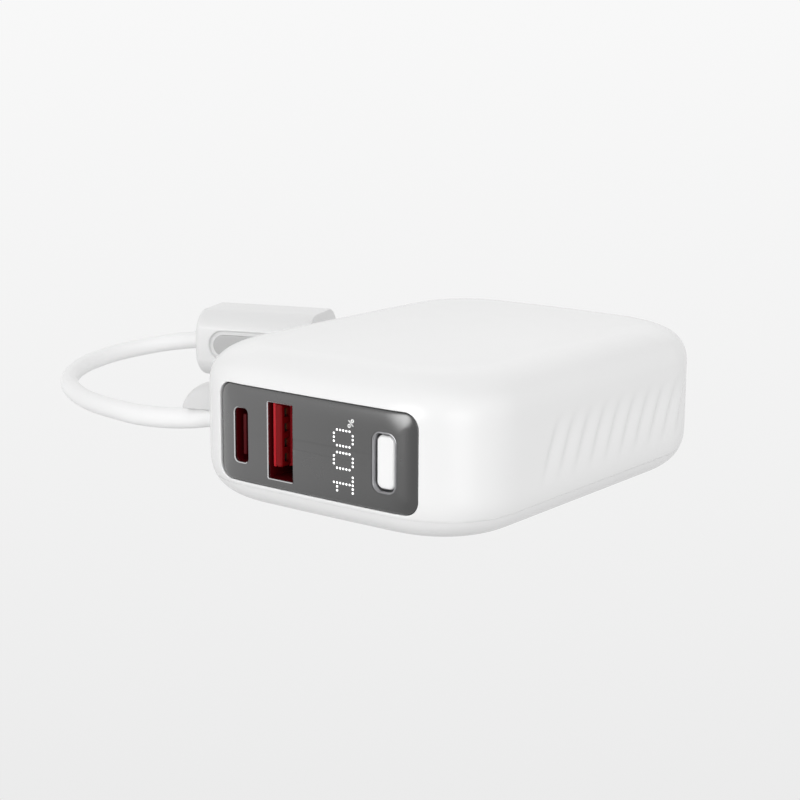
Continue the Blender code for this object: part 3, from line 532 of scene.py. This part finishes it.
def flute_depth(step, z):
    """How deep a flute is cut at a height, at a share of the way from its crest to the next."""
    if step is None or abs(z - FLUTE_MIDDLE) >= FLUTE_HALF:
        return 0.0
    if step < FLUTE_FALL:
        shape = eased(step / FLUTE_FALL)
    else:
        shape = 1 - eased((step - FLUTE_FALL) / (1 - FLUTE_FALL))
    fade = (1 - ((z - FLUTE_MIDDLE) / FLUTE_HALF) ** 2) ** 1.5
    return FLUTE_DEPTH * shape * fade


def lean(y, z):
    """The flutes' slant: how far a column has moved along the side at a height."""
    height = min(max(z, FLUTE_MIDDLE - FLUTE_HALF), FLUTE_MIDDLE + FLUTE_HALF)
    fixed = max(abs(y) - LEAN_FADE, 0.0) / (reach(HALF_Y, 0.0) - LEAN_FADE)
    return FLUTE_SLOPE * (height - FLUTE_MIDDLE) * (1 - eased(fixed))


def case_ring(inset, z, scale=1.0, crowned=False, fluted=True):
    """The case's plan outline at an inset, anticlockwise from the front end of its +X side."""
    side = reach(HALF_Y, inset) / reach(HALF_Y, 0.0)
    end = reach(HALF_X, inset)
    half_x, half_y = HALF_X - inset, HALF_Y - inset
    flank = []
    for y, step in COLUMNS:
        along = y * side + lean(y, z)
        x = half_x - side_drop(along, HALF_Y, inset)
        flank.append((x - (flute_depth(step, z) if fluted else 0.0), along))
    cap = [(x, half_y - side_drop(x, HALF_X, inset)) for x in spread(end, -end, END_STEPS)[1:-1]]
    ring = flank + cap + [(-x, y) for x, y in reversed(flank)] + [(-x, -y) for x, y in cap]
    points = []
    for x, y in ring:
        x, y = x * scale, bowed(x, y) * scale
        points.append((x, y, z + (crown_rise(x, y) if crowned else 0.0)))
    return points


COLUMNS = flute_columns()


# ------------------------------------------------------------------ case shells

def window_cutter():
    """The panel's opening, with a small round where it meets the case's surface."""
    low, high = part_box("front_panel")
    width, height = high.x - low.x, high.z - low.z
    centre = (0.0, (low.z + high.z) / 2)
    clear, round_edge = 0.12 * MM, 0.22 * MM
    rows = [(round_edge * 1.6, -1.2 * MM), (round_edge * 1.6, -0.25 * MM)]
    for turn in spread(0.0, math.pi / 2, 5):
        rows.append((round_edge * (1 - math.sin(turn)), round_edge * (1 - math.cos(turn))))
    rows.append((0.0, 8 * MM))
    made = []
    for out, depth in rows:
        grown = clear + out
        shape = outline(width + 2 * grown, height + 2 * grown, PANEL_CORNER + grown, centre, 12, (34, 12))
        made.append([(x, front_at(x, z) + depth, z) for x, z in shape])
    return cutter_from(loft(made))


def root_cutter():
    """The pocket in the case wall that the cable's root sits in."""
    rows = []
    for out, x in ((0.9, -HALF_X - 3 * MM), (0.9, -HALF_X + 0.7 * MM), (0.35, -HALF_X + 1.0 * MM),
                   (0.12, -HALF_X + 1.5 * MM), (0.12, -HALF_X + 8 * MM)):
        rows.append(root_row(x, out * MM))
    return cutter_from(loft(rows))


def dome(outer, inner):
    """One closed skin: along the outside to its middle, and inside from its middle back to the rim."""
    bm = bmesh.new()
    rings = [[bm.verts.new(point) for point in row] for row in outer + inner]
    turn = len(outer)
    for k in range(len(rings)):
        if k != turn - 1:
            stitch(bm, rings[k], rings[(k + 1) % len(rings)])
    for k in (turn - 1, turn):
        middle = sum((vert.co for vert in rings[k]), Vector()) / len(rings[k])
        hub = bm.verts.new(middle)
        for i, vert in enumerate(rings[k]):
            bm.faces.new((vert, rings[k][(i + 1) % len(rings[k])], hub))
    return bm


def rim_rows(height, up):
    """The rounded edge at the seam; up is 1 on the upper shell and -1 on the bottom cover."""
    inset, z = base_row(base_turn(height))
    rows = []
    for turn in spread(0.0, math.pi / 2, 3)[:-1]:
        rows.append(case_ring(inset + RIM_ROUND * (1 - math.sin(turn)),
                              z + up * RIM_ROUND * (1 - math.cos(turn))))
    return rows


def make_upper_shell():
    rim = SEAM + SEAM_GAP / 2
    flat, wall_top = HEIGHT - CROWN, HEIGHT - CROWN - TOP_DROP
    outer = rim_rows(rim, 1)
    outer += [case_ring(*base_row(t)) for t in spread(base_turn(rim + RIM_ROUND), 0.0, 8)]
    outer += [case_ring(0.0, z) for z in spread(BASE_RISE, wall_top, 22)[1:-1]]
    outer += [case_ring(*top_row(t), crowned=True) for t in spread(0.0, math.pi / 2, 20)]
    outer += [case_ring(TOP_RUN, flat, 1 - i / 16, crowned=True) for i in range(1, 16)]
    inner = [case_ring(TOP_RUN + WALL, flat - WALL, 0.5, crowned=True, fluted=False)]
    for turn in spread(math.pi / 2, 0.0, 6):
        inset, z = top_row(turn)
        inner.append(case_ring(inset * 0.85 + WALL, z - WALL, crowned=True, fluted=False))
    inner.append(case_ring(base_row(base_turn(rim))[0] + WALL, rim, fluted=False))
    shell = place("case_top", dome(outer, inner), "case_white", replaces=("upper_shell",))
    cut(shell, window_cutter(), root_cutter())


def make_bottom_cover():
    rim = SEAM - SEAM_GAP / 2
    outer = rim_rows(rim, -1)
    outer += [case_ring(*base_row(t)) for t in spread(base_turn(rim - RIM_ROUND), math.pi / 2, 14)]
    outer += [case_ring(BASE_RUN, 0.0, scale) for scale in (0.6, 0.3)]
    inner = [
        case_ring(BASE_RUN + WALL, WALL, 0.5), case_ring(BASE_RUN + WALL, WALL),
        case_ring(base_row(base_turn(rim))[0] + WALL, rim),
    ]
    cover = place("case_base", dome(outer, inner), "case_white", replaces=("bottom_cover",))
    even_shading(cover)


# ------------------------------------------------------------------ front panel

def node_middle(node):
    """A node's middle and its size."""
    low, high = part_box(node)
    return (low + high) / 2, high - low


def panel_row(inset, depth):
    """The panel's outline pulled in, on the case's front surface, with points along its sides."""
    middle, size = node_middle("front_panel")
    corner = max(PANEL_CORNER - inset, 0.25 * MM)
    shape = outline(size.x - 2 * inset, size.z - 2 * inset, corner, (0.0, middle.z), 8, (44, 16))
    return [(x, front_y(x) + depth, z) for x, z in shape]


def tube(shape_at, rows):
    """Rows of an outline that grows by a size, each at a depth behind the front."""
    return [[(x, depth, z) for x, z in shape_at(grown)] for grown, depth in rows]


def hole_cutter(width, height, corner, centre):
    """A straight hole through the panel, a hair's breadth wider than what fills it."""
    clear = 0.01 * MM
    shape = outline(width + 2 * clear, height + 2 * clear, corner + clear, centre, 12)
    rows = [[(x, y, z) for x, z in shape] for y in (-HALF_Y - 3 * MM, -HALF_Y + 8 * MM)]
    return cutter_from(loft(rows))


def make_panel():
    rows = [panel_row(inset * MM, PANEL_THICK) for inset in (7.0, 4.0, 0.12)]
    rows.append(panel_row(0.0, PANEL_THICK - 0.12 * MM))
    for turn in spread(0.0, math.pi / 2, 16):
        rows.append(panel_row(PANEL_EDGE_RUN * (1 - math.cos(turn)), PANEL_EDGE_DROP * (1 - math.sin(turn))))
    rows += [panel_row(inset * MM, 0.0) for inset in (4.4, 5.6, 7.0)]
    bm = loft(rows)
    caps = [face for face in bm.faces if len(face.verts) > 4]
    bmesh.ops.triangulate(bm, faces=caps, ngon_method="BEAUTY")
    panel = place("panel_face", bm, "panel_grey", replaces=("front_panel",))
    middle, size = node_middle("button_ring")
    holes = [hole_cutter(size.x, size.z, RING_CORNER, (middle.x, middle.z))]
    for node, corner in PORT_CORNER.items():
        middle, size = node_middle(node)
        grown = 2 * (PORT_RIM - PORT_WALL[node])
        holes.append(hole_cutter(size.x + grown, size.z + grown, corner + PORT_RIM, (middle.x, middle.z)))
    cut(panel, *holes)


# ------------------------------------------------------------------ ports

def make_port(node):
    """A port's drawn shell with a chamfered lip, and the red moulding that lines it, in a darker copy of the
    red that paints the shade inside the port.
    """
    middle, size = node_middle(node)
    wall, corner = PORT_WALL[node], PORT_CORNER[node]
    front, back = front_y(middle.x), middle.y + size.y / 2

    def shape_at(grown):
        wide, tall = size.x - 2 * wall + 2 * grown, size.z - 2 * wall + 2 * grown
        return outline(wide, tall, corner + max(grown, 0.0), (middle.x, middle.z), 10)

    shoulder = front + PANEL_THICK + 0.1 * MM
    rows = ((wall, back), (wall, shoulder), (PORT_RIM, shoulder), (PORT_RIM, front + 0.01 * MM),
            (0.0, front + 0.13 * MM), (0.0, back))
    shell = place(node + "_drawn", loft(tube(shape_at, rows), closed=True), "steel", replaces=(node,))
    even_shading(shell)
    inside = front + 0.5 * MM
    rows = ((-0.01 * MM, back - 0.05 * MM), (-0.01 * MM, inside), (-0.06 * MM, inside - 0.03 * MM),
            (-0.1 * MM, inside + 0.04 * MM), (-0.1 * MM, back - 1.4 * MM))
    lining = place(node + "_lining", loft(tube(shape_at, rows)), "port_red_painted_shade", slot="port_red")
    even_shading(lining)


def block(low, high):
    """A plain box between two corners."""
    bm = bmesh.new()
    bmesh.ops.create_cube(bm, size=1.0)
    low, high = Vector(low), Vector(high)
    bmesh.ops.scale(bm, verts=bm.verts, vec=high - low)
    bmesh.ops.translate(bm, verts=bm.verts, vec=(low + high) / 2)
    return bm


def rounded_box(low, high, edge, name, look, segments=3, **more):
    """A moulded block with rounded edges."""
    bm = block(low, high)
    bmesh.ops.bevel(bm, geom=list(bm.edges), offset=edge, segments=segments, profile=0.5,
                    affect="EDGES")
    return place(name, bm, look, **more)


def make_usb_a_tongue():
    """The tongue with a rib down its back, a slot for each contact in its open side, a black core
    that paints the shadow in the slots, and a raised wedge behind them; rib and wedge are in a
    lighter copy of the red that paints light on them."""
    low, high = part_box("usb_a_tongue")
    front, back = low.y, high.y - 1.5 * MM
    left, right = low.x + 0.45 * MM, low.x + 2.29 * MM
    bottom, top = TONGUE_BOTTOM, TONGUE_TOP
    split = left + 0.5 * MM
    # The rib is in the lighter copy of the red, a painted highlight down the tongue's edge
    rounded_box((left, front + 0.12 * MM, bottom), (split + 0.1 * MM, back, top), 0.2 * MM,
                "usb_a_tongue_rib", "port_red_painted_light", slot="port_red")
    # A black block inside the tongue, which shows through the contact slots as painted shadow
    rounded_box((right - 0.95 * MM, front + 0.6 * MM, bottom + 0.5 * MM),
                (right - 0.6 * MM, back - 0.2 * MM, top - 0.5 * MM), 0.05 * MM,
                "usb_a_tongue_painted_shadow_core", "inner_black", 2)
    tongue = rounded_box((split, front, bottom), (right, back, top), 0.5 * MM, "usb_a_tongue_moulding",
                         "port_red", 6, replaces=("usb_a_tongue", "usb_a_contacts"))
    pitch = (top - bottom - 0.6 * MM) / 4
    middles = [bottom + 0.3 * MM + (number + 0.5) * pitch for number in range(4)]
    half = 0.75 * MM
    slots = []
    for z in middles:
        low = (right - 0.75 * MM, front + 0.8 * MM, z - half)
        high = (right + MM, front + 2.05 * MM, z + half)
        slots.append(cutter_from(block(low, high)))
    cut(tongue, *slots)
    # The wedge is in the lighter copy of the red, painted as lit
    wedge = ((right - 0.1 * MM, front + 2.1 * MM), (right + MM, front + 3.3 * MM),
             (right + MM, back), (right - 0.1 * MM, back))
    rows = [[(x, y, z) for x, y in wedge] for z in (bottom, top)]
    place("usb_a_tongue_back", loft(rows), "port_red_painted_light", slot="port_red")
    for number, z in enumerate(middles, 1):
        rounded_box((right - 0.65 * MM, front + 1.8 * MM, z - 0.5 * MM),
                    (right - 0.5 * MM, front + 2.6 * MM, z + 0.5 * MM), 0.04 * MM,
                    f"usb_a_contact_{number}", "contact_gold", 2)


def make_usb_c_tongue():
    """The thin tongue, with a row of contacts on one side."""
    low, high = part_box("usb_c_tongue")
    middle = (low.x + high.x) / 2
    half = 0.35 * MM
    bottom, top = low.z + 0.95 * MM, high.z - 0.95 * MM
    # The tongue is in the darker copy of the red, which paints the shade inside the port
    rounded_box((middle - half, low.y, bottom), (middle + half, high.y - 1.2 * MM, top), 0.14 * MM,
                "usb_c_tongue_moulding", "port_red_painted_shade", slot="port_red",
                replaces=("usb_c_tongue", "usb_c_contacts"))
    for number in range(8):
        z = bottom + (number + 1) * (top - bottom) / 9
        rounded_box((middle + half - 0.03 * MM, low.y + 2.2 * MM, z - 0.13 * MM),
                    (middle + half + 0.03 * MM, high.y - 2 * MM, z + 0.13 * MM), 0.02 * MM,
                    f"usb_c_contact_{number + 1}", "contact_gold", 1)


# ------------------------------------------------------------------ button

def make_button():
    """The cap with rounded edges, its flange and its stem, and the silver ring round it."""
    ring_middle, ring_size = node_middle("button_ring")
    low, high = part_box("power_button")
    centre = (ring_middle.x, ring_middle.z)
    ring_front, ring_back = (corner.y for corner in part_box("button_ring"))

    def ring_shape(grown):
        return outline(ring_size.x + 2 * grown, ring_size.z + 2 * grown, RING_CORNER + grown, centre, 12)

    bore = -(ring_size.x - CAP_WIDE) / 2 + 0.2 * MM
    rows = ((0.0, ring_back), (0.0, ring_front + 0.08 * MM), (-0.03 * MM, ring_front + 0.02 * MM),
            (-0.08 * MM, ring_front), (-0.26 * MM, ring_front + 0.01 * MM),
            (-0.32 * MM, ring_front + 0.08 * MM), (bore + 0.04 * MM, ring_front + 0.66 * MM),
            (bore, ring_front + 0.74 * MM), (bore, ring_back))
    ring = place("button_surround", loft(tube(ring_shape, rows), closed=True), "ring_silver",
                 replaces=("button_ring",))
    even_shading(ring)

    def cap_shape(grown):
        corner = max(CAP_CORNER + grown, 0.2 * MM)
        return outline(CAP_WIDE + 2 * grown, CAP_TALL + 2 * grown, corner, centre, 12)

    front, flange = low.y, low.y + 1.65 * MM
    rows = [(-1.4 * MM, front - 0.03 * MM), (-0.9 * MM, front - 0.02 * MM), (-CAP_EDGE, front)]
    for turn in spread(0.0, math.pi / 2, 6):
        rows.append((-CAP_EDGE * (1 - math.sin(turn)), front + CAP_EDGE * (1 - math.cos(turn))))
    rows += [(0.0, flange), (0.7 * MM, flange), (0.7 * MM, flange + 0.6 * MM)]
    outlines = tube(cap_shape, rows)
    stem = pill(2 * MM, 2 * MM, centre)
    outlines += [[(x, y, z) for x, z in stem] for y in (flange + 0.6 * MM, high.y)]
    cap = place("button_cap", loft(outlines), "button_white", "button", replaces=("power_button",))
    even_shading(cap)


# ------------------------------------------------------------------ battery digits

def make_digits():
    """A battery level in dots, reading up the panel, with a small percent sign above it.

    A glyph's own up is -X on the panel, and its own right is +Z."""
    bm = bmesh.new()
    zero = [(0, 1), (0, 2), (0, 3)] + [(6, 1), (6, 2), (6, 3)]
    zero += [(row, column) for row in range(1, 6) for column in (0, 4)]
    one = [(row, 2) for row in range(7)] + [(6, 0), (6, 1), (6, 3), (6, 4), (1, 1), (1, 0)]
    for digit, glyph in (("units", zero), ("tens", zero), ("hundreds", one)):
        for row, column in glyph:
            add_dot(bm, DOT_TOP + row * DOT_ROW, GLYPH_STARTS[digit] + column * DOT_COLUMN, DOT_RADIUS)
    for x, z in PERCENT_RINGS:
        add_ring(bm, x, z, PERCENT_RADIUS, RING_LINE_HALF)
    add_bar(bm, *PERCENT_BAR, BAR_LINE_HALF)
    place("battery_digits", bm, "digit_white", slot="button_white")


def on_panel(x, z, proud):
    """A place on the panel's face, or proud of it."""
    return (x, front_y(x) - proud, z)


def panel_circle(bm, x, z, radius, proud, sides):
    """Points round a place on the panel's face."""
    points = []
    for i in range(sides):
        turn = math.tau * i / sides
        points.append(bm.verts.new(on_panel(x + radius * math.cos(turn), z + radius * math.sin(turn), proud)))
    return points


def add_dot(bm, x, z, radius, sides=14):
    """A low domed disc on the panel's face."""
    rows = ((radius, -SINK), (radius, 0.004 * MM), (radius * 0.7, 0.011 * MM))
    rings = [panel_circle(bm, x, z, size, proud, sides) for size, proud in rows]
    for ring, following in zip(rings, rings[1:]):
        stitch(bm, ring, following)
    cap_ends(bm, rings)


def add_ring(bm, x, z, radius, half, sides=20):
    """A flat ring on the panel's face."""
    rows = ((radius + half, -SINK), (radius + half, PROUD), (radius - half, PROUD), (radius - half, -SINK))
    rings = [panel_circle(bm, x, z, size, proud, sides) for size, proud in rows]
    for k, ring in enumerate(rings):
        stitch(bm, ring, rings[(k + 1) % len(rings)])


def add_bar(bm, start, end, half):
    """A flat bar on the panel's face."""
    along = (Vector(end) - Vector(start)).normalized()
    side = Vector((-along.y, along.x)) * half
    corners = [Vector(start) - side, Vector(end) - side, Vector(end) + side, Vector(start) + side]
    rings = [[bm.verts.new(on_panel(c.x, c.y, proud)) for c in corners] for proud in (-SINK, PROUD)]
    stitch(bm, *rings)
    cap_ends(bm, rings)


# ------------------------------------------------------------------ lanyard cable

def smooth_line(route, per_span=6):
    """Points on a Catmull-Rom curve through the route."""
    knots = [Vector(point) for point in route]
    ends = [2 * knots[0] - knots[1], *knots, 2 * knots[-1] - knots[-2]]
    line = [knots[0]]
    for a, b, c, d in zip(ends, ends[1:], ends[2:], ends[3:]):
        for i in range(1, per_span + 1):
            t = i / per_span
            line.append(0.5 * (
                2 * b + (c - a) * t + (2 * a - 5 * b + 4 * c - d) * t ** 2
                + (3 * b - a - 3 * c + d) * t ** 3
            ))
    return line


def make_cable():
    """The cable as a cord along the CAD's route."""
    curve = bpy.data.curves.new("lanyard_sleeve", "CURVE")
    curve.dimensions = "3D"
    curve.bevel_depth = CABLE_RADIUS
    curve.bevel_resolution = 10
    curve.use_fill_caps = True
    line = smooth_line(CABLE_ROUTE)
    spline = curve.splines.new("POLY")
    spline.points.add(len(line) - 1)
    for point, where in zip(spline.points, line):
        point.co = (*where, 1.0)
    spline.use_smooth = True
    curve.materials.append(materials["cable_white"])
    cable = bpy.data.objects.new("lanyard_sleeve", curve)
    bpy.context.scene.collection.objects.link(cable)
    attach(cable, "case")
    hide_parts("lanyard_cable")


def root_row(x, grown):
    """The outline of the cable's root in the case's wall, grown by a size."""
    middle, size = node_middle("cable_boot")
    shape = outline(size.y + 2 * grown, size.z + 2 * grown, ROOT_CORNER + grown, (middle.y, middle.z))
    return [(x, y, z) for y, z in shape]


def make_root():
    """The cable's moulded root: an oval plate in the wall's pocket, and a hood above the cable, in a darker
    copy of the cable's white that paints shade on it.
    """
    low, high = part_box("cable_boot")
    face = CABLE_EXIT[0]
    rows = [
        root_row(high.x, 0.0), root_row(face + 0.3 * MM, 0.0),
        root_row(face + 0.08 * MM, -0.1 * MM), root_row(face, -0.35 * MM),
    ]
    plate = place("root_plate", loft(rows), "cable_white", replaces=("cable_boot",))
    even_shading(plate)
    rows = []
    for share in [math.sin(turn) for turn in spread(0.0, math.pi / 2 * 0.97, 14)]:
        x = face + 0.4 * MM - (face - low.x + 0.2 * MM) * share
        top = HOOD_BASE + HOOD_RISE * (1 - share ** HOOD_POWER) ** (1 / HOOD_POWER)
        under = HOOD_UNDER - HOOD_UNDER_DROP * share
        crease = min(HOOD_CREASE + HOOD_CREASE_RISE * share, under + (top - under) * 0.6)
        rows.append(hood_row(x, (low.y + high.y) / 2, under, crease, top))
    hood = place("root_hood", loft(rows), "hood_white_painted_shade", slot="cable_white")
    even_shading(hood)
    return [plate, hood]


def hood_row(x, middle, under, crease, top):
    """Section of the hood: upright sides to a crease, and a domed roof over them."""
    left, right = middle - HOOD_HALF, middle + HOOD_HALF
    row = [(x, left + HOOD_FOOT, under), (x, left, under + HOOD_FOOT / 2), (x, left, crease)]
    for turn in spread(math.pi, 0.0, 10)[1:-1]:
        across, up = HOOD_HALF * 0.96 * math.cos(turn), (top - crease) * math.sin(turn) ** 0.9
        row.append((x, middle + across, crease + up))
    row += [(x, right, crease), (x, right, under + HOOD_FOOT / 2), (x, right - HOOD_FOOT, under)]
    return row


# ------------------------------------------------------------------ plug

def plug_space():
    """Where the plug lies, from its own axes."""
    return Matrix.Translation(PLUG_AT) @ Matrix.Rotation(PLUG_TURN, 4, "Z")


def plug_loft(rows):
    """A skin through rows along the plug's own axes, moved to where the plug lies."""
    bm = loft(rows)
    bm.transform(plug_space())
    return bm


def plug_row(x, shrink=0.0):
    """The housing's section: flat faces joined by shallow arcs that meet them at an angle."""
    half_y, half_z = PLUG_THICK / 2 - shrink, PLUG_TALL / 2 - shrink
    row = []
    for quarter in range(4):
        side_y = 1 if quarter in (0, 3) else -1
        side_z = 1 if quarter in (0, 1) else -1
        arc = spread(PLUG_EDGE_TURN, math.pi / 2 - PLUG_EDGE_TURN, 10)
        first, last = (math.cos(arc[0]), math.sin(arc[0])), (math.cos(arc[-1]), math.sin(arc[-1]))
        points = []
        for turn in arc:
            across = (math.cos(turn) - last[0]) / (first[0] - last[0])
            up = (math.sin(turn) - first[1]) / (last[1] - first[1])
            points.append((across, up))
        if quarter in (1, 3):
            points.reverse()
        for across, up in points:
            row.append((
                x, side_y * (half_y - PLUG_EDGE_RUN * (1 - across)),
                PLUG_TALL / 2 + side_z * (half_z - PLUG_EDGE_DROP * (1 - up)),
            ))
    return row


def make_plug():
    """The cable's plug: its housing with the oval grip, and the CAD's metal tip."""
    rows = []
    for turn in spread(0.0, math.pi / 2, 8):
        rows.append(plug_row(PLUG_END_ROUND * (1 - math.cos(turn)), PLUG_END_ROUND * (1 - math.sin(turn))))
    rows += [plug_row(x) for x in spread(PLUG_END_ROUND, PLUG_LONG - 0.25 * MM, 12)[1:]]
    rows += [plug_row(PLUG_LONG - 0.07 * MM, 0.08 * MM), plug_row(PLUG_LONG, 0.25 * MM)]
    # The housing is in a darker copy of the case's white, which paints shade on it
    housing = place("plug_body", plug_loft(rows), "plug_white_painted_shade", slot="case_white",
                    replaces=("plug_housing",), sharp=PLUG_SHARP)
    recess = plug_loft(grip_rows(0.0, (
        (0.5, -1.0), (0.5, -0.16), (0.38, -0.05), (0.16, 0.04), (0.04, 0.14), (0.0, 0.3), (0.0, 0.5),
        (-0.06, 0.62), (-0.2, 0.7),
    )))
    cut(housing, cutter_from(recess), tip_cutter(), sharp=PLUG_SHARP)
    inlay = plug_loft(grip_rows(-GRIP_INSET, (
        (0.0, 0.75), (0.0, 0.5), (-0.05, 0.38), (-0.2, 0.32), (-0.8, 0.3),
    )))
    grip = place("plug_inlay", inlay, "grip_grey", replaces=("plug_grip",))
    even_shading(grip)
    return [housing, grip]


def grip_rows(start, rows):
    """The grip's oval, grown from a start by each row's millimetres at its depth in the plug's face."""
    made = []
    for out, depth in rows:
        grown, y = start + out * MM, depth * MM - PLUG_THICK / 2
        centre = (PLUG_LONG / 2, PLUG_TALL / 2)
        shape = pill(GRIP_LONG + 2 * grown, GRIP_TALL + 2 * grown, centre, 14)
        made.append([(x, y, z) for x, z in shape])
    return made


def tip_cutter():
    """The slot in the housing's end that the metal tip comes out of."""
    shape = pill(TIP_SLOT_LONG, TIP_SLOT_TALL, (0.0, PLUG_TALL / 2), 8)
    rows = [[(x, y, z) for y, z in shape] for x in (PLUG_LONG - 5 * MM, PLUG_LONG + MM)]
    return cutter_from(plug_loft(rows))


# ------------------------------------------------------------------ CAD nodes that show as they are

def dress_cad_nodes():
    """Gives every CAD node the material of its slot in the record."""
    for entry in frame["record"]["subparts"]:
        node = frame["nodes"][entry["node"]]
        node.data.materials.clear()
        node.data.materials.append(materials[entry["material_slot"]])
        node.data.set_sharp_from_angle(angle=math.radians(SHARP))


# ------------------------------------------------------------------ stage and light

def make_floor():
    """A pale floor with far walls and no roof, that brightens away from the camera."""
    bm = block((-FLOOR_WIDE / 2, -FLOOR_WIDE / 2, 0.0), (FLOOR_WIDE / 2, FLOOR_WIDE / 2, FLOOR_TALL))
    bmesh.ops.delete(bm, geom=[face for face in bm.faces if face.normal.z > 0.5], context="FACES")
    mesh = bpy.data.meshes.new("floor")
    bm.to_mesh(mesh)
    bm.free()
    floor = bpy.data.objects.new("floor", mesh)
    floor.location.z = -FLOOR_GAP
    bpy.context.scene.collection.objects.link(floor)
    mesh.materials.append(floor_glow())
    floor.visible_diffuse = False
    floor.visible_glossy = False


def floor_glow():
    """A glow set by how steep the way down from the camera's place is to each place on the floor."""
    material = bpy.data.materials.new("floor")
    material.use_nodes = True
    tree = material.node_tree
    tree.nodes.clear()
    away = arithmetic(tree, "ADD", reach_along(tree, position(tree), FLOOR_AWAY), -FLOOR_AWAY.dot(CAMERA_AT))
    steepness = arithmetic(tree, "DIVIDE", CAMERA_AT.z, arithmetic(tree, "MAXIMUM", away, FLOOR_NEAREST))
    glow = tree.nodes.new("ShaderNodeEmission")
    strength = map_range(tree, steepness, 0.0, FLOOR_STEEPEST, FLOOR_FAR, FLOOR_NEAR)
    tree.links.new(strength, glow.inputs["Strength"])
    out = tree.nodes.new("ShaderNodeOutputMaterial")
    tree.links.new(glow.outputs[0], out.inputs["Surface"])
    return material


def sky_direction(bearing, height):
    """A direction from its bearing round the object and its height, both in degrees."""
    turn = CAMERA_YAW + math.radians(bearing)
    level = math.cos(math.radians(height))
    return math.sin(turn) * level, -math.cos(turn) * level, math.sin(math.radians(height))


def make_world():
    """Soft light from all round, brighter in a few broad directions."""
    world = bpy.data.worlds.new("world")
    bpy.context.scene.world = world
    world.use_nodes = True
    tree = world.node_tree
    way = tree.nodes.new("ShaderNodeTexCoord").outputs["Generated"]
    total = SKY_BASE
    for bearing, height, reach_angle, strength in SKY_LIGHTS:
        facing = reach_along(tree, way, sky_direction(bearing, height))
        edge = math.cos(math.radians(reach_angle))
        light = map_range(tree, facing, edge, 1.0, 0.0, strength, "SMOOTHSTEP")
        total = arithmetic(tree, "ADD", total, light)
    background = tree.nodes["Background"]
    background.inputs["Color"].default_value = (1.0, 1.0, 1.0, 1.0)
    tree.links.new(total, background.inputs["Strength"])


bpy.context.scene.view_settings.view_transform = "Standard"
materials = make_materials()
make_camera()
dress_cad_nodes()
plug_pieces = make_plug()
root_pieces = make_root()
make_cable()
make_upper_shell()
make_bottom_cover()
make_panel()
for port in PORT_WALL:
    make_port(port)
make_usb_a_tongue()
make_usb_c_tongue()
make_button()
make_digits()
make_floor()
make_world()
